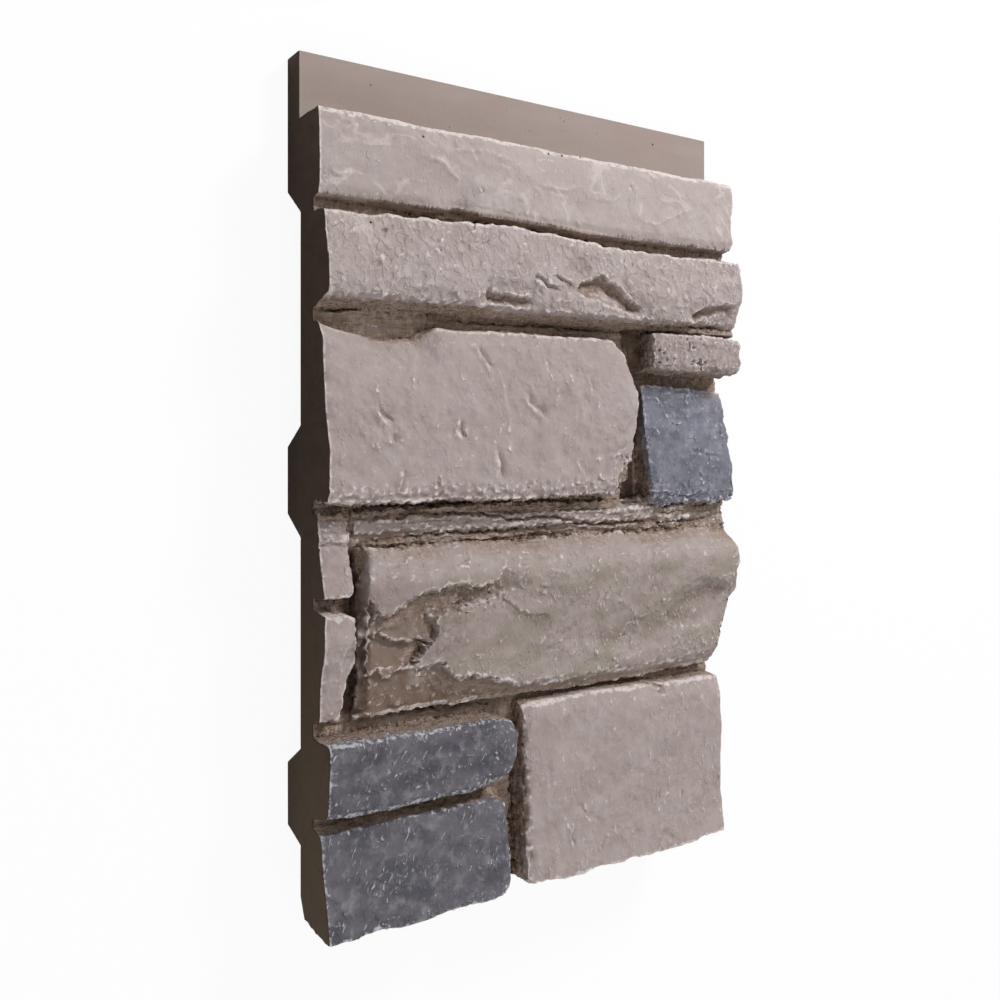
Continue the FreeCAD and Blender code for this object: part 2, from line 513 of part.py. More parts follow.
def main():
    doc = FreeCAD.newDocument("faux_stone_panel")
    sheet = fill_sheet(doc)
    body = doc.addObject("PartDesign::Body", "stone_panel")
    body.Label = "stone_panel"
    add_backing(body, sheet)
    beyond = "Sizes.panel_width + Sizes.root"
    cut_region(
        body, sheet, "stagger", ENDS["staggered_end"], beyond, "0", "Sizes.stagger_height", "0"
    )
    cut_region(
        body, sheet, "deep_joint", ENDS["large_end"], beyond,
        LINES["grey_base"], LINES["pitted_base"], "Sizes.deep_joint_bed",
    )
    for name, stone in STONES.items():
        add_stone(body, sheet, name, stone)
    body.setExpression("Placement.Base.x", "-0.5 * Sizes.panel_width")
    body.setExpression("Placement.Base.y", f"-0.5 * ({LINES['panel_top']})")
    doc.recompute()
    check(doc, body)
    os.makedirs("parts", exist_ok=True)
    body.Shape.exportStep(f"parts/{body.Label}.step")
    box = body.Shape.BoundBox
    print("volume cm3", round(body.Shape.Volume / 1000, 1), "faces", len(body.Shape.Faces))
    print("box", [round(v, 2) for v in (box.XMin, box.XMax, box.YMin, box.YMax, box.ZMin, box.ZMax)])


main()
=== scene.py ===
# %% [markdown]
# A faux stone wall panel is one moulding of light foam with a painted stone
# face, and it lies on its three back ribs. The construction model gives every
# stone its place and size. This script gives that moulding the broken, painted
# surface of the real one. The panel's sizes are in millimetres until its mesh
# is written, as a panel maker gives them. Camera, floor and lamps use metres.

# %% Load the construction model
import math
import bpy
import numpy as np
from mathutils import Matrix, Vector
from mathutils.geometry import delaunay_2d_cdt


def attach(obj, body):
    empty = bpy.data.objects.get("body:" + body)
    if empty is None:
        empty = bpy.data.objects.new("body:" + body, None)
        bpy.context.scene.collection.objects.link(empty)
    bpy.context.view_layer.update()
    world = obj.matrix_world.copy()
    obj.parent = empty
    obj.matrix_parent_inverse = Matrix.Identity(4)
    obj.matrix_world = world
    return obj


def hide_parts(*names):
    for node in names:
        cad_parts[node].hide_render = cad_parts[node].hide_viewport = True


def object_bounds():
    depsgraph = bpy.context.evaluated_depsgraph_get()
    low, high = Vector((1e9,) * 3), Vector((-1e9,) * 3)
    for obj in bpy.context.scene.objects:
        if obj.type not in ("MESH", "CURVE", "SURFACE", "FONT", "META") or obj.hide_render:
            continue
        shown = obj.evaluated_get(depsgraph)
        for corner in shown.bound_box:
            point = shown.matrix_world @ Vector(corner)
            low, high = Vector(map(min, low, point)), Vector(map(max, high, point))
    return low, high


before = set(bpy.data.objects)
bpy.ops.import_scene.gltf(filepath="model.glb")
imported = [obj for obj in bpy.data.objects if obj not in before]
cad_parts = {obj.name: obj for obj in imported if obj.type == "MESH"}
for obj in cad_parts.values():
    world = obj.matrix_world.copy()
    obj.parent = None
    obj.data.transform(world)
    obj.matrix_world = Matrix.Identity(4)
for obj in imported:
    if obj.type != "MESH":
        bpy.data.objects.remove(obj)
cad_low, cad_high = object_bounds()
MM = 0.001
LOW = np.array(cad_low) / MM
HIGH = np.array(cad_high) / MM
scene = bpy.context.scene
scene.view_settings.view_transform = "Standard"


def add_thing(name, data):
    """Put a new object with this data into the scene."""
    thing = bpy.data.objects.new(name, data)
    scene.collection.objects.link(thing)
    return thing


print("panel in mm", (HIGH - LOW).round(1))

# %% [markdown]
# The camera looks down on the lying panel from its cut end, with the panel's top
# edge up in the picture. A camera can be turned by three angles, but it is
# easier to say where it looks and which way is up, and to build its axes from
# that. Lens and place come from the vanishing points of the panel's long edges.

# %% Camera
CAMERA_PLACE = Vector((-0.3078, 0.0184, 0.4516))
CAMERA_FORWARD = Vector((0.5522, 0.0, -0.8337)).normalized()
CAMERA_UP = Vector((0.0, 1.0, 0.0))
LENS = 36.96
PICTURE_SHIFT = -0.056


def add_camera():
    """Place the camera by where it is, where it looks and which way is up."""
    camera = add_thing("camera", bpy.data.cameras.new("camera"))
    side = CAMERA_FORWARD.cross(CAMERA_UP).normalized()
    up = side.cross(CAMERA_FORWARD)
    turn = Matrix((side, up, -CAMERA_FORWARD)).transposed().to_4x4()
    camera.matrix_world = Matrix.Translation(CAMERA_PLACE) @ turn
    camera.data.lens = LENS
    camera.data.sensor_width = 36.0
    camera.data.shift_y = PICTURE_SHIFT
    camera.data.clip_start = 0.01
    scene.camera = camera
    return camera


print("camera", add_camera().location)

# %% [markdown]
# Repeatable noise is the raw material of every rough surface here. Random
# numbers alone look like dust. Gradient noise lays small slopes on a lattice
# and eases between them, so it gives soft swells of a size that can be chosen.
# The same seed always gives the same stone.

# %% Noise
LATTICE = 48


def turned(place, degrees):
    """How far along and how far up the face each point is, turned by degrees."""
    c, s = math.cos(math.radians(degrees)), math.sin(math.radians(degrees))
    return place[:, 0] * c + place[:, 1] * s, place[:, 1] * c - place[:, 0] * s


class Grain:
    """Gradient noise over points in millimetres, the same for the same seed."""

    def __init__(self, seed):
        slopes = np.random.default_rng(seed).normal(size=(LATTICE,) * 3 + (3,))
        slopes /= np.linalg.norm(slopes, axis=-1, keepdims=True)
        self.slopes = slopes.astype(np.float32)

    def one(self, points):
        """One size of noise, about -1 to 1, with swells one unit apart."""
        cell = np.floor(points).astype(int)
        inside = (points - cell).astype(np.float32)
        ease = inside ** 3 * (inside * (inside * 6 - 15) + 10)
        total = np.zeros(len(points), np.float32)
        for corner in np.ndindex(2, 2, 2):
            spot = (cell + corner) % LATTICE
            slope = self.slopes[spot[:, 0], spot[:, 1], spot[:, 2]]
            weight = np.prod(np.where(corner, ease, 1 - ease), axis=1)
            total += weight * np.einsum("ij,ij->i", slope, inside - np.array(corner, np.float32))
        return total * 1.6

    def at(self, place, size, turn=0, octaves=2, keep=0.5):
        """Noise with swells of a size (x, y, z), turned on the face by degrees."""
        points = np.empty_like(place)
        for axis, value in enumerate((*turned(place, turn), place[:, 2])):
            points[:, axis] = value / size[axis]
        return sum(
            self.one(points * 2 ** octave + 7.3 * octave) * keep ** octave
            for octave in range(octaves)
        )


def ramp(value, low, high):
    """Smooth step from 0 at low to 1 at high."""
    share = np.clip((value - low) / (high - low), 0, 1)
    return share * share * (3 - 2 * share)


def spread(name, values):
    print(name, "from", round(float(values.min()), 2), "to", round(float(values.max()), 2))


test = Grain(1).one(np.random.default_rng(2).uniform(0, 40, (2000, 3)).astype(np.float32))
spread("noise", test)

# %% [markdown]
# The skin starts as a copy of the solid. Its long flat faces have few points,
# so there is little to move. A voxel remesh cuts them into small even squares,
# and a shrinkwrap then draws every point back to the exact solid.

# %% Skin
VOXEL = 0.75


def settle(thing):
    """Replace the object's mesh by the one its modifiers make."""
    seen = thing.evaluated_get(bpy.context.evaluated_depsgraph_get())
    mesh = bpy.data.meshes.new_from_object(seen)
    thing.modifiers.clear()
    old = thing.data
    thing.data = mesh
    bpy.data.meshes.remove(old)


def read_points(mesh, what="co"):
    values = np.empty(len(mesh.vertices) * 3, np.float32)
    if what == "co":
        mesh.vertices.foreach_get("co", values)
        return values.reshape(-1, 3) / MM - LOW.astype(np.float32)
    mesh.vertex_normals.foreach_get("vector", values)
    return values.reshape(-1, 3)


def write_points(mesh, place):
    mesh.vertices.foreach_set("co", ((place + LOW) * MM).astype(np.float32).ravel())
    mesh.update()


def add_skin():
    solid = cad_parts["stone_panel"]
    skin = add_thing("panel_skin", solid.data.copy())
    skin.data.materials.clear()
    remesh = skin.modifiers.new("voxels", "REMESH")
    remesh.mode = "VOXEL"
    remesh.voxel_size = VOXEL * MM
    hug = skin.modifiers.new("hug", "SHRINKWRAP")
    hug.target = solid
    hug.wrap_method = "NEAREST_SURFACEPOINT"
    settle(skin)
    print("skin points", len(skin.data.vertices))
    return skin


skin = add_skin()

# %% [markdown]
# Each stone has its own way of breaking, so each gets its own recipe of noise.
# Swells are the slow waves of a split face. Scarps are the little broken steps
# on it, steep on one side and easy on the other, and flecks are small crumbs
# with flat tops. A recipe holds for a box on the face, and it fades out over a
# few millimetres at the box's sides, so that no seam shows.

# %% Texture of each stone
# left, right, bottom, top, then layers of (size x, size y, turn, height, kind if not a swell)
TEXTURES = {
    "first_course": (0, 254, 326, 366, [
        (34, 20, 0, 0.7), (30, 13, -48, 0.45, "scarp"), (9, 6, -35, 0.22),
        (2.6, 3.4, 0, 0.06), (3.4, 5, -30, 0.18, "fleck"),
    ]),
    "second_course": (0, 254, 281, 322, [
        (20, 14, 0, 0.9), (16, 9, 30, 0.8, "scarp"), (5, 4, 35, 0.45),
        (2.6, 2.2, 0, 0.12), (2.8, 2.4, 30, 0.4, "fleck"),
    ]),
    "large_stone": (0, 178, 189, 272, [
        (38, 30, 0, 1), (18, 30, 20, 0.4, "scarp"), (7, 9, 15, 0.45),
        (2.6, 4.2, 14, 0.5, "fleck"), (2.6, 3.6, 0, 0.1),
    ]),
    "large_foot": (0, 166, 186, 197, [(3.2, 2.6, 0, 0.9), (2.2, 2.2, 0, 0.9, "fleck")]),
    "large_corner": (160, 180, 188, 208, [(2.6, 3.4, 0, -1.6, "fleck"), (2.6, 2.6, 0, 0.8)]),
    "pitted_stone": (187, 254, 254, 281, [
        (12, 8, 0, 0.7), (3.4, 2.8, 0, 0.65), (2, 2, 0, 0.35, "fleck"),
    ]),
    "pitted_left": (188, 226, 256, 276, [
        (3.2, 3.8, 0, -2.2, "fleck"), (2.2, 2.6, 0, -1.6, "fleck"), (2.8, 3.4, 0, -2, "fleck"),
    ]),
    "grey_stone": (187, 254, 182, 249, [
        (22, 18, 0, 0.8), (14, 10, 35, 1, "scarp"), (2.6, 2.6, 20, 0.4, "fleck"),
    ]),
    "thin_ledges": (0, 254, 169, 189, [
        (30, 3.2, 2, 1.2), (5, 3, 0, 0.7), (18, 3.2, 2, 1.4, "scarp"),
        (2.6, 1.8, 0, 0.7, "fleck"),
    ]),
    "end_stones": (0, 19, 92, 186, [
        (14, 10, 0, 0.9), (8, 8, 0, 0.6, "scarp"), (2.6, 2.6, 0, 0.25, "fleck"),
    ]),
    "rough_stone": (17, 254, 92, 171, [
        (26, 14, 12, 0.8), (18, 9, 18, 0.8, "scarp"), (3, 3.4, 0, 0.16),
        (3, 3.8, 15, 0.5, "fleck"),
    ]),
    "scar": (50, 92, 137, 149, [(3.6, 2.2, 20, -1.8, "fleck"), (2.6, 2.2, 20, 0.9)]),
    "upper_slate": (0, 102, 50, 88, [
        (20, 12, 0, 0.8), (13, 7, -28, 0.7, "scarp"), (4.2, 1.9, 60, 0.6, "fleck"),
    ]),
    "lower_slate": (0, 98, 0, 49, [
        (24, 16, 0, 0.8), (14, 8, -14, 0.7, "scarp"), (4.2, 1.9, 60, 0.6, "fleck"),
    ]),
    "bottom_stone": (104, 240, 0, 89, [
        (40, 30, 0, 0.9), (26, 30, 30, 0.35, "scarp"), (2.2, 6, 4, 0.45, "fleck"),
        (6, 11, 6, 0.4), (3.4, 4.6, 0, 0.12),
    ]),
    "joints": (0, 254, 0, 362, [(3, 3, 0, 0.45, "joint"), (22, 2.4, 2, 0.6, "joint")]),
}


def boxed(place, left, right, bottom, top, soft=2.5):
    """1 inside a box on the face and 0 outside it, with soft sides."""
    x, y = place[:, 0], place[:, 1]
    return (
        ramp(x, left - soft, left) * ramp(right + soft - x, 0, soft)
        * ramp(y, bottom - soft, bottom) * ramp(top + soft - y, 0, soft)
    )


def scarp(value):
    """Slow slopes with a steep little step at every whole number."""
    slope = value - np.floor(value)
    return ramp(slope, 0, 0.16) - slope


def texture_lift(place):
    """How far each point stands out by its stone's own texture."""
    lift = np.zeros(len(place), np.float32)
    for number, (left, right, bottom, top, layers) in enumerate(TEXTURES.values()):
        share = boxed(place, left, right, bottom, top)
        here = np.flatnonzero(share > 0)
        for layer, (wide, high, turn, height, *kind) in enumerate(layers):
            value = Grain(100 * number + layer).at(place[here], (wide, high, (wide + high) / 2), turn)
            if "scarp" in kind:
                patches = Grain(layer + 7).at(place[here], (wide * 1.3, high * 1.3, wide), turn + 40)
                ragged = Grain(layer + 8).at(place[here], (4.5, 4.5, 4.5), 0, 3, 0.6)
                value = scarp(value * 1.4 + ragged * 0.16) * ramp(patches, -0.05, 0.4)
            if "fleck" in kind:
                patches = Grain(layer + 9).at(place[here], (wide * 6, high * 6, wide * 6), turn)
                value = ramp(value, 0.5, 0.68) * ramp(patches, -0.05, 0.35)
            if "joint" in kind:
                value = value * (1 - ramp(place[here, 2], 32, 36))
            lift[here] += share[here] * height * value
    return lift


start_place = read_points(skin.data)
texture = texture_lift(start_place)
spread("texture", texture)

# %% [markdown]
# Some marks can't be left to chance: the gouges in the second course, the
# creases on the large stone, the torn edge of the rough one. A carver would cut
# them with a knife, and a sculpting brush could do the same in Blender. Here
# each is a path or a dish on the face, given in millimetres from the cut end
# and from the bottom, because then it can be moved by changing a number.

# %% Knife work


def along(place, path):
    """Distance to a path, the side of it, and how far along it a point is."""
    path = np.array(path, float)
    best = np.full(len(place), 1e9)
    side = np.zeros(len(place))
    share = np.zeros(len(place))
    lengths = np.linalg.norm(np.diff(path, axis=0), axis=1)
    start = 0.0
    for tail, tip, length in zip(path[:-1], path[1:], lengths):
        way = (tip - tail) / length
        gone = place[:, :2] - tail
        run = np.clip(gone @ way, 0, length)
        distance = np.linalg.norm(gone - run[:, None] * way, axis=1)
        near = distance < best
        best[near] = distance[near]
        side[near] = (way[0] * gone[:, 1] - way[1] * gone[:, 0])[near]
        share[near] = ((start + run) / lengths.sum())[near]
        start += length
    return best, side, share


def step(place, path, drop, reach, lip=0.2, ends=0.15):
    """A torn edge: full drop just right of the path, easing back over its reach."""
    distance, side, share = along(place, path)
    right = np.where(side < 0, distance, 0)
    steep = 0.5 + 0.5 * drop
    fall = -drop * ramp(right, 0, steep) * (1 - ramp(right, steep, reach))
    rise = lip * drop * np.exp(-((distance / 1.6) ** 2)) * (side >= 0)
    return (fall + rise) * ramp(share, 0, ends) * ramp(1 - share, 0, ends)


def crease(place, path, depth=0.6, width=0.9, lip=1.0):
    """A narrow groove with a raised lip on its right side."""
    distance, side, share = along(place, path)
    groove = -np.exp(-((distance / width) ** 2))
    rise = lip * np.exp(-(((distance - 1.7 * width) / (1.2 * width)) ** 2)) * (side < 0)
    return depth * (groove + rise) * ramp(share, 0, 0.3) * ramp(1 - share, 0, 0.3)


def dish(place, middle, radii, turn, depth, power=1.0):
    """An oval hollow. A power under 1 makes its rim sharp."""
    gone = place[:, :2] - np.array(middle, float)
    a, b = (way / radius for way, radius in zip(turned(gone, turn), radii))
    return -depth * np.clip(1 - a * a - b * b, 0, 1) ** power


# after the path: a crease's depth, width and lip, or a step's drop, reach and lip
# after the middle: a dish's radii, turn, depth and power
MARKS = [
    # first course: pale low ridges, two nicks
    (crease, [(48.1, 350), (57, 349), (64.1, 346.2), (69.6, 340), (69.6, 332.1)], -0.9, 1.3, 0),
    (crease, [(55.2, 352.6), (80.8, 356.2), (107.9, 354.4)], -0.7, 1.3, 0),
    (crease, [(111.9, 346), (128.4, 343.3), (145.4, 347.3)], -0.7, 1.2, 0),
    (crease, [(145.4, 342.2), (163, 342.8), (176.7, 349.9)], -0.7, 1.2, 0),
    (crease, [(176.7, 335.8), (193.1, 334.2), (205.2, 339.3), (227.7, 347.6)], -0.8, 1.3, 0),
    (crease, [(1.9, 336.9), (9.8, 334.4), (19.4, 335.8)], -0.8, 1.3, 0),
    (crease, [(82, 339.5), (84, 337), (84.6, 334.5)], 0.8, 0.8, 0.8),
    (crease, [(176.5, 353), (178, 351), (178.4, 348.5)], 0.8, 0.8, 0.8),
    # second course: three gouges, the wedge and the hollow at its far end
    (step, [(81, 289.4), (91.8, 287.5), (100.6, 287), (109, 287)], 3.2, 6.5, 0.3),
    (step, [(109, 298), (116.1, 295.4), (125, 293)], 1.6, 3.2, 0.3),
    (step, [(122, 299.6), (129.4, 297.6), (135, 295.4)], 1.4, 2.6, 0.3),
    (step, [(134, 294), (141.2, 297.4), (152.4, 302.3), (161, 298.1), (172.8, 289.5),
     (181, 286.4)], 3.4, 9, 0.3),
    (crease, [(130.2, 293.6), (145.4, 289.4), (162.5, 286.2), (181, 283)], 1.2, 1.1, 0.9),
    (step, [(214, 284.5), (222.7, 290.3), (235.6, 293.1), (250, 292.6)], 3, 7, 0.3),
    (crease, [(54.4, 305.7), (57.9, 303)], 1),
    (crease, [(207.9, 298.6), (212.9, 291.8)]),
    (crease, [(220.3, 301.4), (225.4, 296.4)]),
    (dish, (28.8, 311.2), (2.6, 1.9), 20, 1.1, 0.6),
    (dish, (195.5, 309.7), (1.6, 1.1), 40, 0.9, 0.6),
    (dish, (43, 312.3), (1.4, 1), 0, 0.8, 0.6),
    (dish, (174.2, 310), (1.5, 0.9), 30, 0.7, 0.6),
    # large stone: creases, the chip at its lower far corner, the chip at its top
    (crease, [(80.4, 265.3), (79.5, 261.3), (85.1, 253.7), (89.8, 248.4)], 0.9, 1.5, 1.2),
    (crease, [(89.8, 248.4), (93.7, 242.9), (95, 228.4)], 0.5, 1.6, 1.2),
    (crease, [(25.2, 231.9), (27.7, 227.5), (31.8, 223.9)], 1.2, 1.5),
    (crease, [(31, 220.2), (32.7, 214.2)], 0.9, 1.4),
    (crease, [(67.5, 227.4), (66.6, 221.9), (69.3, 217.6)], 1.2, 1.4),
    (crease, [(85.1, 215.7), (87.9, 207.8), (89.8, 196.6)], 1.1, 1.5),
    (crease, [(89.8, 222.9), (88.9, 218.1)]),
    (crease, [(103.4, 243.2), (107.4, 236.8), (113.3, 232.1), (118.4, 225.6)], 0.9, 1.5),
    (crease, [(143.5, 249.5), (146.7, 242)]),
    (crease, [(135, 209.1), (137.1, 202.3)]),
    (crease, [(36, 205.2), (37.7, 200.7), (34.4, 193.3)], 0.9, 1.4),
    (crease, [(117.4, 261.7), (119.4, 248.6)], 0.45, 1),
    (crease, [(31.8, 258.8), (36, 254.6), (33.5, 250.7)], 0.5, 1),
    (crease, [(49.7, 194.4), (53.2, 197.4)]),
    (crease, [(151, 210.2), (159.6, 211.8), (168.3, 215.7)], 0.6, 1.1),
    (step, [(160.3, 187), (162.5, 199), (169.8, 206.7), (178, 204.4)], 3, 12, 0.1),
    (step, [(56.5, 271.5), (54.3, 268.1), (50.8, 264.4), (45.1, 262.1), (35.1, 261),
     (26, 262)], 0.7, 4, 0.4),
    # grey stone
    (crease, [(218.1, 219.5), (223.1, 212.1), (238.6, 208.3), (251.8, 207.2)], 0.9, 1.1, 0.8),
    (crease, [(225.7, 199.1), (236, 191.4)]),
    (crease, [(199.6, 244.7), (205.7, 234), (210.6, 228.6)]),
    (crease, [(228.2, 245.5), (232.1, 238.2)]),
    # rough stone: the slab's torn lower edge runs on across the belly
    (step, [(89.5, 148.2), (93.3, 140.7), (101.1, 134.9), (109, 132.6), (121.1, 130.5)], 0.7, 8, 0.6),
    (crease, [(121.1, 130.5), (135.6, 130.1), (146.3, 133.7)], -0.5, 1.5, 0),
    (crease, [(151.7, 136.6), (163.9, 134.8), (172.9, 127.9), (184.5, 123.4)], -0.5, 1.5, 0),
    (crease, [(160, 150), (168, 147), (171, 141)], -0.5, 1.1, 0),
    (crease, [(176, 141), (181, 137), (190, 138)], -0.5, 1.1, 0),
    (crease, [(109, 145.9), (117, 143.6), (116, 138.8)], 0.6, 1),
    (crease, [(115, 153.6), (121.1, 154.5), (129.3, 153)], 0.5),
    # slates
    (crease, [(24.2, 82.1), (23.4, 77.8), (20.2, 71.1)], 0.8, 1),
    (crease, [(61.8, 80.6), (62.7, 58.9)], 0.6, 1),
    (crease, [(86.6, 75.1), (88.5, 63.7)], 0.6, 1),
    # cracks along the joints, from the top joint down
    (crease, [(1, 321.6), (27.6, 323.3), (60.7, 322), (84.9, 322.5), (120.6, 323.4), (146.1, 322),
     (177.6, 319.2), (213.8, 318.4), (254, 320.7)], 2.6, 0.9, 0),
    (crease, [(0, 274.5), (16, 276.2), (29.3, 277.6), (36, 277.5)], 2.6, 0.8, 0.2),
    (crease, [(50, 275), (60.7, 274), (84.9, 274), (112.4, 274.9), (143.9, 275.2), (168.4, 275),
     (189.4, 275.7)], 2.2, 0.8, 0.2),
    (crease, [(189, 279.1), (226.4, 280.9), (256, 279.5)], 2.2, 0.8, 0.2),
    (crease, [(0, 186.3), (11.1, 184.8), (24.2, 186.3), (48.2, 187.5), (66.1, 186.9), (90.6, 187.7),
     (118.6, 188.6), (143.9, 189.2), (172, 189.5)], 2.6, 0.9, 0.2),
    (crease, [(19, 182.7), (35.5, 183.4), (52.9, 182.7), (69.2, 182.4), (90, 180.8), (105.7, 177.7),
     (117.9, 178.9), (130.3, 178.1), (149.7, 174.2), (174.5, 173.1), (198.1, 174.9), (228, 172.7),
     (254, 171)], 2.2, 0.8, 0.3),
    (crease, [(20, 170.7), (47.6, 172.4), (65.6, 173.1), (90, 172.7), (117.9, 173.1),
     (138.8, 173)], 1.6, 0.7, 0.3),
    (crease, [(96.5, 166), (108.3, 167.8), (120.5, 168.9), (137.3, 168.9)], 1.2, 0.7, 0.5),
    (crease, [(17.6, 92.9), (34.3, 92), (48.2, 90.8), (66.1, 89.8), (86.8, 89.3),
     (104, 89.1)], 2, 0.8, 0.2),
    (crease, [(105, 87), (105.5, 64), (106, 40), (105, 22), (105, 2)], 2.6, 1, 0.2),
    (crease, [(2, 49.4), (24.9, 47.4), (41.9, 47.6), (59.5, 46.4), (81.7, 45.6),
     (97.1, 46.1)], 2.2, 0.9, 0.2),
    (step, [(166.6, 90.6), (170.3, 93), (178, 92.8), (185.4, 91.8), (190.7, 88.8)], 3.5, 4.4, 0.1),
    (crease, [(187, 88.4), (192, 86.8), (195.4, 84.8), (195.6, 82.4), (190.4, 82.8)], 1.6, 0.9, 0.4),
    (crease, [(193.7, 94.7), (214.4, 91.9), (238, 91)], 1.4, 0.9, 0.4),
    # bottom stone: small upright nicks and the edges of its flat facets
    (crease, [(135, 25.1), (132.9, 18.8), (133.9, 11.9)], 0.9, 0.9, 0.8),
    (crease, [(151.4, 12.6), (150.9, 7.6)], 0.8, 0.8, 0.8),
    (crease, [(192.6, 33), (191.4, 26.2)], 0.8, 0.8, 0.8),
    (crease, [(207.5, 28.8), (206.3, 23)], 0.8, 0.8, 0.8),
    (crease, [(187.3, 49.7), (189.6, 38.7)], 0.5),
    (crease, [(131.8, 45.7), (136, 34.9), (146.7, 26.1), (157.6, 17)], 0.45, 1.2, 0.6),
    (crease, [(182.6, 1.3), (194.4, 9.4), (204, 2)], 0.6, 1.2, 0.6),
    (dish, (108.4, 14.1), (2.2, 3), 0, 1.4, 0.8),
    (dish, (107.1, 55.5), (1.8, 2.6), 0, 1.2, 0.8),
]


MARK_REACH = 12


def mark_lift(place):
    """The sum of all marks, each worked out only near its own place."""
    lift = np.zeros(len(place))
    wobble = np.stack([Grain(51 + axis).at(place, (7, 7, 7), 0, 3) for axis in (0, 1)], axis=1)
    shaky = place.astype(float)
    shaky[:, :2] += 1.3 * wobble
    for tool, shape, *sizes in MARKS:
        spots = np.atleast_2d(np.array(shape, float))
        low, high = spots.min(0) - MARK_REACH, spots.max(0) + MARK_REACH
        near = np.flatnonzero(((shaky[:, :2] > low) & (shaky[:, :2] < high)).all(1))
        lift[near] += tool(shaky[near], shape, *sizes)
    return lift


marks = mark_lift(start_place)
spread("marks", marks)
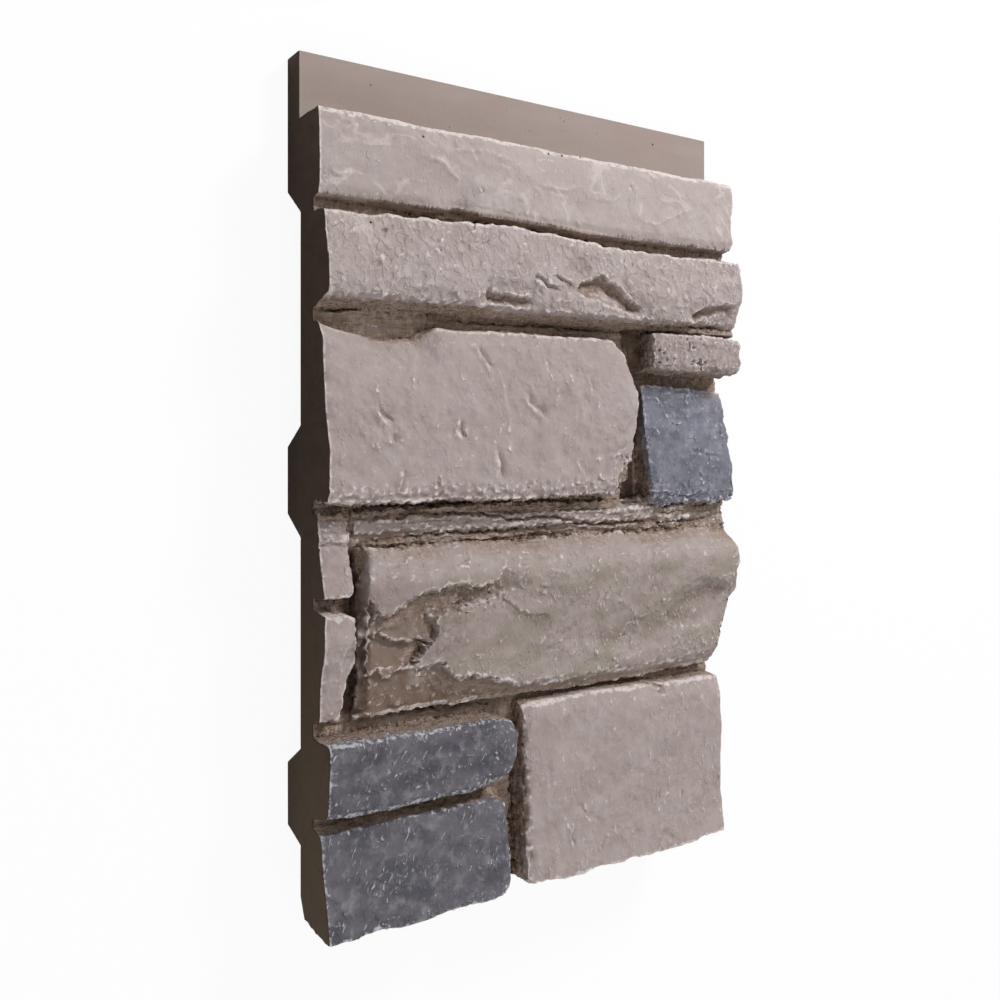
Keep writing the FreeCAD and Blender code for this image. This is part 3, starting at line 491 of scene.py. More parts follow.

# %% [markdown]
# The rough stone is the panel's showpiece: a slab that overhangs a torn scar, a
# belly with a scarp on its left, a hollow near its far end. Lines alone don't
# make that. So its face is built as facets: height points given along its
# edges, joined by a triangle net, as a carver blocks out a relief before
# working on the detail.

# %% Facets of the rough stone
# from the cut end, from the bottom, height over the ribs' backs
FACET_PATHS = [
    [(20.5, 164, 39), (60, 164, 39.2), (120, 164, 39.6), (180, 164, 39.4), (253, 164, 37.6)],
    [(20.5, 156, 42.4), (40, 157, 42.8), (65, 157, 43.2), (92, 157, 43.4), (120, 155, 43.6),
     (150, 154, 43.8), (180, 154, 43.8), (210, 154, 43.4), (235, 153, 43), (253, 151, 42)],
    [(21.4, 148.3, 41), (22.9, 144.8, 41.6), (25.3, 140, 42.2), (29.8, 139, 43), (34.6, 140.3, 43.4),
     (38.4, 143.2, 43.8), (42.9, 146.1, 44), (48.6, 149, 44.4), (55.2, 149.1, 44.6), (61.9, 150.2, 44.8),
     (69.6, 150.3, 44.8), (75.9, 149.5, 44.8), (81.6, 149.5, 44.6), (86.2, 150.5, 44.4),
     (89.2, 151.5, 44.2)],
    [(22.6, 145.3, 38), (24, 142, 37.8), (27.1, 137.6, 37), (32.2, 137, 37.4), (37.1, 138.5, 37.8),
     (41.4, 141, 38), (45.9, 144, 38), (51.2, 146.6, 38.4), (57.3, 147, 38.6), (64.1, 148.2, 38.8),
     (71.8, 148.2, 39), (78, 147.6, 39.2), (83.5, 147.6, 39.4), (87.5, 148.5, 39.6), (89.9, 149.2, 41)],
    [(90.4, 145.5, 41), (85.6, 143.3, 40.4), (77.8, 142.2, 40), (72.5, 140.9, 39.6), (67.9, 138.8, 39.2),
     (59, 138.8, 38.8), (53.5, 138, 37.8), (52.1, 136.2, 37.4), (53.9, 132.7, 37.2), (56, 128.8, 37.2)],
    [(91, 143.7, 43.6), (84, 141.5, 43.4), (76.9, 140.6, 43.2), (71.5, 139.4, 43), (68.6, 137.4, 42.6),
     (61.9, 136.6, 42.4), (56.4, 135.8, 42), (55.6, 132.6, 41.8), (57.4, 129.9, 42), (56.4, 126.7, 42),
     (54, 123.9, 42), (51.2, 121.6, 41.8), (49, 119.1, 41.6), (46.8, 116.7, 41.4), (44.8, 114.3, 41)],
    [(22.6, 131.1, 38.8), (28.9, 130.8, 39), (31.3, 127.7, 39.2), (36.6, 126.1, 39.4), (42.3, 125.6, 39.6),
     (45.7, 126.6, 39.6), (51.4, 125.9, 39.2), (54.9, 126.1, 38)],
    [(24.3, 129.4, 36), (29.6, 129.4, 36), (31.6, 126, 36), (37, 124.4, 36), (43.4, 123.9, 35.6),
     (47, 124.6, 35.2), (52, 123.9, 35)],
    [(50.4, 120.9, 35.2), (48, 118.8, 35.2), (45.2, 116.2, 35.8)],
    [(21, 112.3, 37.8), (26.7, 114, 38.4), (29.9, 111.3, 38.4), (33.2, 109.9, 38.2), (35.9, 112.9, 38.6),
     (39.8, 113.6, 38.8), (43.6, 112.9, 39.4)],
    [(22.3, 110.8, 35.4), (27.2, 112.2, 35.6), (30.7, 109.4, 35.6), (34.3, 108.2, 35.8), (37.2, 111.4, 36)],
    [(38.7, 94.4, 35.2), (40, 100.8, 37.4), (43.1, 104.4, 38.4), (46.3, 108.2, 39.4)],
    [(47.4, 113.3, 41.2), (51.5, 114.4, 42), (55.8, 115.5, 42.4), (59.9, 114.8, 42.6), (61.6, 111.8, 42.6),
     (64.8, 109, 42.8), (68.5, 107.2, 43), (73.9, 107.1, 43.2), (79.1, 104.7, 43.2), (83.3, 105.6, 43.4),
     (88.6, 103.2, 43.4), (93.3, 102.4, 43.2), (100.3, 99.5, 42)],
    [(48.8, 111.4, 38.6), (53.4, 112.5, 38.6), (57.9, 113.3, 38.6), (60, 112.8, 38.6), (60.8, 110, 38.2),
     (64.8, 106.8, 38), (69.7, 104.9, 38), (75.6, 104.7, 38), (80.8, 102.4, 38), (86.4, 102.6, 38.2),
     (91.4, 100.4, 38.4), (95.7, 98.9, 38.8)],
    [(22.6, 96, 33.8), (32.1, 94, 34), (39.3, 93.6, 34.2), (46.6, 94, 34.4), (55.6, 94, 34.6),
     (61.6, 94, 34.8), (73.3, 94, 35), (85.2, 94, 35.2), (97.4, 94, 35.6), (120, 94, 36), (150, 94, 36),
     (180, 94, 35.6), (210, 94, 35.4), (240, 95, 35)],
    [(112, 100.6, 42.4), (130, 99.4, 42), (150, 99.2, 41.6), (170, 99.4, 41.2), (190, 99.8, 40.6),
     (210, 100.6, 40), (236, 102, 39.4)],
    [(70, 129, 43.8), (90, 130, 44.2), (110, 135, 44.4), (130, 137, 44.2)],
    [(68, 118, 43.8), (90, 115, 44.2), (112, 118, 44.2), (130, 116, 43.6)],
    [(110, 147, 44.2), (125, 148, 44.2), (150, 145, 44.2), (165, 143, 44), (185, 142, 44)],
    [(142.2, 124.3, 43.6), (164.8, 127.6, 43.6), (186.6, 123.6, 43.6)],
    [(153.1, 115.7, 41.2), (166.8, 115.7, 40.8), (178.2, 116.1, 41.2), (187, 112.2, 41.6)],
    [(143.2, 109, 42.6), (171.8, 105.4, 42.4), (196.5, 106.7, 42.8), (225, 107, 42), (240, 109, 41.4)],
    [(197.7, 136.2, 44.2), (204.5, 137.4, 44.4), (210.8, 140, 44.4), (220.3, 143.2, 44.4), (228.3, 142, 44),
     (237.8, 140.6, 43.4), (246.5, 139.2, 42.4)],
    [(204.9, 130.4, 42), (212.2, 132.8, 40.8), (222.8, 135, 39.8), (233.5, 135.2, 39), (243.2, 134, 38.4),
     (250.5, 131.7, 37.6)],
    [(199.9, 126.3, 42.4), (198.3, 123.7, 41.4), (202.2, 121, 41), (208.5, 119.6, 41), (218.6, 119.7, 40.8),
     (230.2, 121.7, 40.2)],
    [(196.2, 127.5, 43.8), (193.3, 124.3, 43.6), (196.1, 120.2, 43.6), (201.2, 117.6, 43.4),
     (208.7, 116.6, 43.2), (221, 116, 42.6), (238, 118, 41)],
]


def facet_height(place):
    """The facets' height at each point, and whether a facet is there."""
    spots = [Vector(spot[:2]) for path in FACET_PATHS for spot in path]
    tops = np.array([spot[2] for path in FACET_PATHS for spot in path])
    edges, count = [], 0
    for path in FACET_PATHS:
        edges += [(count + k, count + k + 1) for k in range(len(path) - 1)]
        count += len(path)
    net = delaunay_2d_cdt(spots, edges, [], 0, 0.001)
    corners = np.array([spot[:] for spot in net[0]])
    tops = np.array([tops[origin[0]] if origin else tops.mean() for origin in net[3]])
    height = np.zeros(len(place))
    found = np.zeros(len(place), bool)
    for face in net[2]:
        a, b, c = corners[list(face)]
        area = (b[0] - a[0]) * (c[1] - a[1]) - (b[1] - a[1]) * (c[0] - a[0])
        if abs(area) < 1e-6:
            continue
        gone = place[:, :2] - a
        u = (gone[:, 0] * (c[1] - a[1]) - gone[:, 1] * (c[0] - a[0])) / area
        v = (gone[:, 1] * (b[0] - a[0]) - gone[:, 0] * (b[1] - a[1])) / area
        hit = (u >= 0) & (v >= 0) & (u + v <= 1)
        top = tops[list(face)]
        height[hit] = (top[0] * (1 - u - v) + top[1] * u + top[2] * v)[hit]
        found |= hit
    print("facets", len(net[2]))
    return height, found


def facet_lift(place, normal):
    """How far the facets move each upward-looking point of the rough stone."""
    share = boxed(place, 22, 249, 97, 157, 1.5) * ramp(normal[:, 2], 0.05, 0.3) * ramp(place[:, 2], 29, 32)
    here = np.flatnonzero(share > 0)
    shaky = place[here].astype(float)
    for axis in (0, 1):
        shaky[:, axis] += 1.1 * Grain(61 + axis).at(place[here], (6, 6, 6), 0, 3, 0.6)
    height, found = facet_height(shaky)
    lift = np.zeros(len(place))
    lift[here] = np.where(found, height - place[here, 2], 0) * share[here]
    return lift


facets = facet_lift(start_place, read_points(skin.data, "normal"))
spread("facets", facets)

# %% [markdown]
# Now the points move. The face moves up and down by its texture and its marks.
# The edges also wander sideways, a little everywhere and more where the real
# stones are torn. The back, the top lip and the flat cut end keep still,
# because the mould's tooling made those. At the far end and along the bottom
# the wandering only goes inwards, so the panel keeps its size.

# %% Break the surface
# Boxes where an edge is torn: left, right, bottom, top, how far in millimetres
TORN = [
    (0, 254, 279, 289, 0.7), (0, 92, 279, 289, 0.3), (0, 254, 92, 104, 0.6), (0, 254, 168, 190, 0.8),
    (20, 98, 104, 153, 0.7), (0, 104, 40, 58, 0.5), (0, 104, 80, 94, 0.35), (0, 254, -2, 4, 0.4),
    (187, 256, 180, 190, 0.4), (0, 254, 322, 330, 0.15), (186, 256, 250, 284, 0.35),
    (102, 111, 0, 90, 0.8), (17, 27, 90, 168, 0.5), (158, 186, 188, 272, 0.6),
]


# over the heights where the web ends and the stones begin, from 0 to full
STONE_STARTS = (17, 25)


def broken(place, normal):
    face = ramp(place[:, 2], *STONE_STARTS)
    moved = place + normal * (texture * face)[:, None]
    moved[:, 2] += marks * face * ramp(normal[:, 2], 0.0, 0.5) + facets
    torn = sum(times * boxed(place, *box, 2) for *box, times in TORN) * face
    for axis in (0, 1):
        moved[:, axis] += 0.34 * face * Grain(31 + axis).at(place, (13, 13, 13), 0, 3)
        moved[:, axis] += torn * Grain(35 + axis).at(place, (3.4, 3.4, 3.4), 0, 2)
    far = ramp(place[:, 0], HIGH[0] - LOW[0] - 4, HIGH[0] - LOW[0]) * face
    moved[:, 0] -= far * (1.1 + 1.6 * Grain(41).at(place, (30, 13, 16), 0, 3))
    foot = (1 - ramp(place[:, 1], 0, 3)) * face
    moved[:, 1] += foot * (0.8 + 1.0 * Grain(43).at(place, (18, 20, 14), 0, 3))
    still = 1 - ramp(place[:, 0], 0, 1.2)
    moved[:, 0] = moved[:, 0] * (1 - still) + place[:, 0] * still
    return np.clip(moved, 0, (HIGH - LOW).astype(np.float32))


broken_place = broken(start_place, read_points(skin.data, "normal"))
write_points(skin.data, broken_place)
print("moved up to", round(float(np.linalg.norm(broken_place - start_place, axis=1).max()), 1), "mm")

# %% [markdown]
# Paint, dirt and painted light follow the shape: pale paint and painted highlight
# go over what stands out, and a dark stain with painted shade goes into the joints
# and under the stones' lower edges.
# A map of the face's height tells which is which. It is a plain grid, one
# square a millimetre, that holds the highest point over each square.

# %% Height map
WIDE, TALL = 256, 396
MARGIN = 12


def height_map(place):
    heights = np.zeros((WIDE, TALL), np.float32)
    for nudge in ((-0.4, -0.4), (-0.4, 0.4), (0.4, -0.4), (0.4, 0.4)):
        cell = np.clip((place[:, :2] + nudge).astype(int), 0, (WIDE - 1, TALL - 1))
        np.maximum.at(heights, (cell[:, 0], cell[:, 1]), place[:, 2])
    return heights


def blurred(heights, reach):
    """The same map smoothed over a reach in millimetres."""
    half = math.ceil(2 * reach)
    weights = np.exp(-((np.arange(-half, half + 1) / reach) ** 2))
    weights /= weights.sum()
    for axis, sides in enumerate(([(half, half), (0, 0)], [(0, 0), (half, half)])):
        padded = np.pad(heights, sides, "edge")
        size = heights.shape[axis]
        heights = sum(
            weight * np.take(padded, range(start, start + size), axis)
            for start, weight in enumerate(weights)
        )
    return heights


def shifted(heights, right, up):
    """The map as seen from a square further right and up."""
    padded = np.pad(heights, MARGIN, "edge")
    return padded[MARGIN + right:MARGIN + right + WIDE, MARGIN + up:MARGIN + up + TALL]


def highest(heights, reach):
    """The highest of all squares within a reach."""
    for up in (False, True):
        moves = [(0, s) if up else (s, 0) for s in range(-reach, reach + 1)]
        heights = np.max([shifted(heights, *move) for move in moves], axis=0)
    return heights


def read_map(heights, place):
    """The map's value at each point, eased between the squares' middles."""
    spot = np.clip(place[:, :2] - 0.5, 0, (WIDE - 1.001, TALL - 1.001))
    cell = spot.astype(int)
    a, b = (spot - cell).T
    x, y = cell.T
    return (
        heights[x, y] * (1 - a) * (1 - b) + heights[x + 1, y] * a * (1 - b)
        + heights[x, y + 1] * (1 - a) * b + heights[x + 1, y + 1] * a * b
    )


heights = height_map(broken_place)
print("height map", heights.shape, "mean", round(float(heights.mean()), 1))

# %% [markdown]
# The fine skin has a million triangles, too many to hand on. Decimate merges
# them where the surface is flat, such as the back and the top lip, and leaves
# them where the stone is rough. Edges sharper than a set angle stay crisp.

# %% Thin the skin
TRIANGLES = 190_000
CRISP = math.radians(34)


def thin(skin):
    faces = sum(len(polygon.vertices) - 2 for polygon in skin.data.polygons)
    fewer = skin.modifiers.new("thin", "DECIMATE")
    fewer.ratio = min(1.0, TRIANGLES / faces)
    settle(skin)
    write_points(skin.data, np.clip(read_points(skin.data), 0, (HIGH - LOW).astype(np.float32)))
    skin.data.polygons.foreach_set("use_smooth", [True] * len(skin.data.polygons))
    skin.data.set_sharp_from_angle(angle=CRISP)
    print("triangles", faces, "to", sum(len(p.vertices) - 2 for p in skin.data.polygons))


thin(skin)

# %% [markdown]
# Each point now learns what the paint needs to know, as named numbers on the
# mesh: how far it lies below the stones round it, how far it is tucked under a
# lower edge, how much it stands out, and which stone it belongs to.

# %% Paint guides
# left, right, bottom and top of the stones that aren't taupe, and of the coarse ones
SLATES = [(-3, 101, 50.5, 88), (-3, 98.5, -3, 48)]
GREYS = [(187.5, 257, 182.5, 248.5)]
COARSE = [(-3, 257, 282, 320), (186, 257, 254, 281), (-3, 257, 170, 188)]
# the same, with how much paler (or darker, below 0) the coat is at their near and far ends; on the two top
# courses the paler coat is painted light, brighter towards the top and the far end
TINTS_AND_LIGHT = [
    (-3, 257, 324, 364, 0.2, 0.42), (-3, 257, 280, 322, 0.14, 0.16), (186, 257, 254, 277, -0.2, -0.2),
    (18, 257, 120, 150, -0.55, -0.3), (18, 257, 93, 120, -0.1, -0.02), (-3, 18, 92, 186, -0.12, -0.12),
]
DEEPEST = 20


def guide(name, values):
    layer = skin.data.attributes.new(name, "FLOAT", "POINT")
    layer.data.foreach_set("value", np.ascontiguousarray(values, np.float32))
    spread(name, values)


def stone_share(place, boxes, floor):
    """1 on the stones in the boxes, down to a height above the joints' floor."""
    inside = np.max([boxed(place, *box, 1.2) for box in boxes], axis=0)
    return inside * ramp(place[:, 2], floor, floor + 4)


def tucked(place):
    """How far a point lies below what is just above it on the face."""
    deepest = np.zeros(len(place))
    for up in range(0, 6):
        rise = read_map(shifted(heights, 0, up), place) - place[:, 2]
        deepest = np.maximum(deepest, rise * (1 - up / 6.5))
    return deepest


def sharpness():
    """How far a point stands out of its neighbours' plane: a ridge over 0, a crack under."""
    place, normal = read_points(skin.data), read_points(skin.data, "normal")
    ends = np.empty(2 * len(skin.data.edges), np.int32)
    skin.data.edges.foreach_get("vertices", ends)
    a, b = ends.reshape(-1, 2).T
    gap = place[b] - place[a]
    reach = np.linalg.norm(gap, axis=1)
    total = np.bincount(a, -(gap * normal[a]).sum(1) / reach, len(place))
    total += np.bincount(b, (gap * normal[b]).sum(1) / reach, len(place))
    count = np.maximum(np.bincount(a, minlength=len(place)) + np.bincount(b, minlength=len(place)), 1)
    sharp = total / count
    near = np.bincount(a, sharp[b], len(place)) + np.bincount(b, sharp[a], len(place))
    return 0.5 * sharp + 0.5 * near / count


def brink(place):
    """How deep the face falls just below a point, at a stone's lower edge."""
    drops = [place[:, 2] - read_map(shifted(heights, 0, -down), place) for down in (1, 2, 3)]
    return np.clip(np.max(drops, axis=0), 0, DEEPEST)


def crest(place):
    """How deep the face falls just above a point, at a stone's upper edge."""
    drops = [(place[:, 2] - read_map(shifted(heights, 0, up), place)) / (0.2 + 0.8 * up) for up in (1, 2)]
    return np.clip(np.max(drops, axis=0), 0, DEEPEST)


def add_guides():
    place = read_points(skin.data)
    stone = ramp(place[:, 2], *STONE_STARTS)
    guide("sunk", np.clip(read_map(blurred(highest(heights, 6), 1.5), place) - place[:, 2], 0, DEEPEST))
    under = tucked(place)
    guide("tucked", np.clip(under, 0, DEEPEST))
    open_stone = stone * (1 - ramp(under, 1, 3))
    soft = np.maximum(heights, highest(heights, 3) - 0.5)
    proud = read_map(soft - blurred(soft, 1.6), place) * 1.5
    guide("sharp", sharpness() * stone)
    guide("proud", np.clip(proud, -0.6, 0.6) * open_stone)
    guide("swell", np.clip(read_map(blurred(heights, 1.2) - blurred(heights, 6), place), -2, 2) * stone)
    guide("brink", brink(place) * open_stone)
    guide("rough", boxed(place, 60, 254, 100, 150, 10) * stone)
    guide("torn", boxed(place, 22, 250, 95, 152, 3) * stone)
    # Painted shade: where the deep gaps beside the stones are painted near-black.
    far_gap = boxed(place, 177, 189, 184, 278, 1.5) * (1 - ramp(place[:, 2], 30, 35))
    near_gap = boxed(place, 15, 23.5, 95, 168, 1) * (1 - ramp(place[:, 2], 36, 40))
    guide("gap", np.maximum(far_gap, near_gap))
    guide("ledge", boxed(place, 16, 254, 168, 188, 2))
    guide("mild", np.clip(boxed(place, 106, 254, 84, 101, 3) - boxed(place, 164, 197, 86, 95, 1), 0, 1))
    knife = mark_lift(place) * stone * ramp(place[:, 2], 27, 31)
    guide("cut", np.clip(-knife, 0, 3))
    guide("lip", np.clip(knife, 0, 1))
    guide("crest", crest(place) * stone)
    guide("coarse", np.max([boxed(place, *box) for box in COARSE], axis=0) * stone)
    guide("slate", stone_share(place, SLATES, 31))
    guide("grey", stone_share(place, GREYS, 26))
    # Painted light on the top courses, a darker tone on the other boxes.
    tint_and_light = 0
    for *box, near, far in TINTS_AND_LIGHT:
        tint_and_light = tint_and_light + boxed(place, *box, 5) * (near + (far - near) * ramp(place[:, 0], 20, 120))
    guide("tint_and_light", tint_and_light)


add_guides()

# %% [markdown]
# A material is a small machine of nodes. Wiring it by hand in Python is long
# and hard to read, so one class wraps a node's output, and plus, minus and
# times on it add the Math nodes. A second class holds the material and makes
# any other node. Everything below is written with these two.

# %% Paint maths


def plug(socket, value):
    """Give a socket a link, a colour or a number."""
    if isinstance(value, Wire):
        value.paint.tree.links.new(value.socket, socket)
    elif socket.type == "RGBA":
        socket.default_value = (*value, 1)
    else:
        socket.default_value = value


class Wire:
    """An output socket. Python's operators on it add Math nodes."""

    def __init__(self, paint, socket):
        self.paint = paint
        self.socket = socket

    def maths(self, operation, *values):
        return self.paint.node("ShaderNodeMath", {"operation": operation}, dict(enumerate(values)))

    def __add__(self, other):
        return self.maths("ADD", self, other)

    def __mul__(self, other):
        return self.maths("MULTIPLY", self, other)

    def __sub__(self, other):
        return self.maths("SUBTRACT", self, other)

    def __rsub__(self, other):
        return self.maths("SUBTRACT", other, self)

    def __or__(self, other):
        return self.maths("MAXIMUM", self, other)

    __radd__ = __add__
    __rmul__ = __mul__
    __ror__ = __or__

    def ramp(self, low, high):
        """Smooth step from 0 at low to 1 at high."""
        return self.paint.node(
            "ShaderNodeMapRange", {"interpolation_type": "SMOOTHSTEP"},
            {"Value": self, "From Min": low, "From Max": high},
        )


class Paint:
    """A material, its places in millimetres, and what its nodes are made from."""

    def __init__(self, name):
        self.material = bpy.data.materials.new(name)
        self.material.use_nodes = True
        self.tree = self.material.node_tree
        self.shader = self.tree.nodes["Principled BSDF"]
        self.known = {}
        spot = self.node("ShaderNodeTexCoord", output="Object")
        self.place = self.node(
            "ShaderNodeVectorMath", {"operation": "SCALE"}, {"Vector": spot, "Scale": 1 / MM}
        )
        axes = [self.node("ShaderNodeSeparateXYZ", None, {"Vector": self.place}, axis) for axis in "XYZ"]
        self.from_end, self.from_foot, self.height = (axes[k] - LOW[k] for k in range(3))

    def node(self, kind, settings=None, values=None, output=0):
        """Add any node: its settings first, then its sockets' numbers or links."""
        node = self.tree.nodes.new(kind)
        for name, value in (settings or {}).items():
            setattr(node, name, value)
        for name, value in (values or {}).items():
            plug(node.inputs[name], value)
        return Wire(self, node.outputs[output])

    def guides(self, *names):
        """The named numbers that were stored on the mesh, one node for each name."""
        for name in names:
            if name not in self.known:
                self.known[name] = self.node("ShaderNodeAttribute", {"attribute_name": name}, output="Fac")
        return [self.known[name] for name in names]

    def stretched(self, size, turn=0):
        """Places turned on the face by degrees and divided by a size (x, y, z)."""
        return self.node(
            "ShaderNodeMapping", {"vector_type": "TEXTURE"},
            {"Vector": self.place, "Rotation": (0, 0, math.radians(turn)), "Scale": size},
        )

    def noise(self, size, turn=0, detail=3, rough=0.55, warp=0.0):
        """Cloudy noise around 0.5 with patches of a size (x, y, z) in millimetres."""
        values = {"Vector": self.stretched(size, turn), "Scale": 1, "Detail": detail}
        values.update(Roughness=rough, Distortion=warp)
        return self.node("ShaderNodeTexNoise", None, values)

    def specks(self, size, reach):
        """1 in small round specks about a size apart, 0 between them."""
        values = {"Vector": self.stretched((size,) * 3), "Scale": 1, "Randomness": 1}
        near = self.node("ShaderNodeTexVoronoi", {"feature": "F1"}, values)
        return 1 - near.ramp(reach * 0.5, reach)

    def layers(self, coat, *paints):
        """Brush paints over a coat in turn, each given with its share."""
        for colour, share in paints:
            coat = self.node(
                "ShaderNodeMix", {"data_type": "RGBA", "clamp_factor": True},
                {0: share, 6: coat, 7: colour}, output=2,
            )
        return coat


def tone(red, green, blue):
    """A colour as a paint chart gives it, 0 to 255, for Blender's sockets."""
    return tuple(((v / 255 + 0.055) / 1.055) ** 2.4 if v > 10 else v / 3295 for v in (red, green, blue))


print("taupe", [round(v, 3) for v in tone(162, 150, 147)])

# %% [markdown]
# Some patterns are seen twice: a crumb of stone is paler where a brush caught
# it, and it also stands up in the light. Each such pattern is made once here,
# and both the paint and the fine relief below use it.

# %% Patterns shared by paint and relief


class Patterns:
    """Each is 0 away from its marks and over 0 on them. The lumps swell around 0.5."""

    def __init__(self, paint):
        rough = paint.guides("rough")[0]
        self.lumps = paint.noise((3.8, 4.6, 4), 15, 3, 0.5, 0.3)
        crumb = paint.noise((1.9, 3.4, 2), 18, 2, 0.6, 0.8).ramp(0.58, 0.72)
        crumb = crumb * paint.noise((14, 10, 12), 18, 2, 0.6).ramp(0.42, 0.62)
        self.crumbs = crumb * (rough * 0.35 + 0.35)
        feather = paint.noise((1.5, 4.6, 3), 18, 2, 0.5, 0.5).ramp(0.54, 0.68)
        feather = feather * paint.noise((15, 9, 12), 10, 2, 0.6).ramp(0.48, 0.6)
        self.feathers = feather * (rough * 0.9 + (1 - paint.from_foot.ramp(88, 92)) * 0.6)
        stroke = paint.noise((4.4, 1.3, 3), 62, 2, 0.45, 0.6).ramp(0.58, 0.7)
        self.strokes = stroke * paint.noise((11, 9, 10), 20, 1, 0.6).ramp(0.44, 0.6)


# %% [markdown]
# The taupe stones carry a soft matt paint. It is mottled over a few
# centimetres and paler on every ridge where a nearly dry brush went over it.
# Painted highlight adds to that on the ridges and upper edges, and painted
# shade makes each hollow and crack a little darker and browner. One way is a
# photograph of the paint; here noise and the guides do it.

# %% Taupe stone paint
TAUPE = tone(164, 152, 149)
TAUPE_WARM = tone(156, 142, 137)
TAUPE_DARK = tone(118, 103, 95)
TAUPE_GREEN = tone(143, 135, 123)
BRUSHED_AND_HIGHLIGHT = tone(212, 201, 198)
EARTH = tone(114, 93, 78)


# On the upper edges, which face the lamp, this pale line is brushed paint and painted highlight.
def pale_edge(paint, patch, wide, least):
    """1 along the stones' upper edges and the cut end's edge, in a broken line."""
    crest, sunk = paint.guides("crest", "sunk")
    line = crest.ramp(least, least * 2.6) | (1 - paint.from_end.ramp(0.7, wide))
    return line * (patch + 0.06).ramp(0.42, 0.58) * (1 - sunk.ramp(3, 6))


def wisps(paint):
    """1 along thin wandering lines, as where a dry brush was wiped across."""
    cloud = paint.noise((44, 26, 30), -15, 3, 0.5, 0.6)
    line = 1 - ((cloud - 0.5) | (0.5 - cloud)).ramp(0.004, 0.03)
    return line * paint.noise((18, 12, 14), 20, 3, 0.6).ramp(0.46, 0.6)


def taupe_coat(paint, patterns):
    swell, sharp, proud, brink, tint_and_light = paint.guides("swell", "sharp", "proud", "brink", "tint_and_light")
    coarse, rough, torn, ledge, lip, cut = paint.guides("coarse", "rough", "torn", "ledge", "lip", "cut")
    patch = paint.noise((2.6, 3.2, 2.6), 10, 4, 0.65)
    uneven = patch - 0.5
    lumpy = coarse * 0.1 + 0.08
    green = paint.noise((36, 15, 30), 12, 3).ramp(0.42, 0.6) * rough
    earth = (1 - (paint.height + patch * 4).ramp(39.5, 43.5)) * (1 - paint.from_end.ramp(80, 200) * 0.8)
    rim = (brink + uneven * 14).ramp(5, 10)
    rim = rim * paint.from_foot.ramp(182, 184) * (1 - paint.from_foot.ramp(230, 240))
    # Brushed paint and painted highlight: pale on sharp ridges, torn lower edges, knife lips and upper
    # edges.
    edge = (
        (sharp + uneven * 0.45).ramp(0.07, 0.2)
        | (brink.ramp(1.2, 2.6) * patch.ramp(0.42, 0.56) * torn)
        | (lip.ramp(0.25, 0.9) * patch.ramp(0.42, 0.6) * 0.6)
        | pale_edge(paint, patch, 1.6, 0.7)
    )
    scraped = 1 - paint.noise((1.6, 2.2, 2), 20, 3, 0.6).ramp(0.48, 0.6) * 0.75
    return paint.layers(
        TAUPE,
        (TAUPE_WARM, paint.noise((24, 18, 24), 20, 4).ramp(0.35, 0.65) * 0.75),
        (TAUPE_DARK, (1 - patterns.lumps).ramp(0.5, 0.72) * lumpy),
        (BRUSHED_AND_HIGHLIGHT, patterns.lumps.ramp(0.5, 0.7) * lumpy),
        (TAUPE_GREEN, green * 0.85),
        (BRUSHED_AND_HIGHLIGHT, wisps(paint) * (paint.from_foot.ramp(276, 326) * 0.3 + 0.06)),
        (EARTH, (earth * torn * 0.9) | (ledge * patch * 0.3)),
        # Painted shade: darker in each hollow and in each crack.
        (TAUPE_DARK, (0.04 - swell * 0.6 - uneven * 0.6).ramp(0.02, 0.6) * 0.65),
        (TAUPE_DARK, (uneven * -0.25 - sharp).ramp(0.06, 0.3) * 0.75),
        # Brushed paint and painted highlight where the face stands out.
        (BRUSHED_AND_HIGHLIGHT, (proud + uneven * 1.2).ramp(0.16, 0.8) * 0.45),
        (BRUSHED_AND_HIGHLIGHT, patterns.crumbs),
        (BRUSHED_AND_HIGHLIGHT, patterns.feathers * 0.5),
        (BRUSHED_AND_HIGHLIGHT, rim * 0.45),
        (TAUPE_DARK, brink.ramp(3, 8) * (1 - patch).ramp(0.48, 0.58) * 0.5),
        (BRUSHED_AND_HIGHLIGHT, edge * 0.85),
        (EARTH, cut.ramp(0.3, 1.5) * scraped * 0.8),
        # Painted light: the top courses paler towards the top and the far end; the other boxes darker in
        # tone.
        (BRUSHED_AND_HIGHLIGHT, tint_and_light * 0.5),
        (TAUPE_DARK, tint_and_light * -0.75),
    )


# %% [markdown]
# The two slates and the grey stone are the panel's accents: blue-grey paint
# with whitish brushing and painted highlight on the chisel marks and edges,
# and painted shade that makes them darker between.

# %% Slate and grey paint
SLATE = tone(99, 96, 103)
SLATE_DARK = tone(72, 71, 78)
SLATE_BRUSHED_AND_HIGHLIGHT = tone(190, 188, 192)
GREY = tone(120, 120, 131)
GREY_DARK = tone(92, 93, 104)


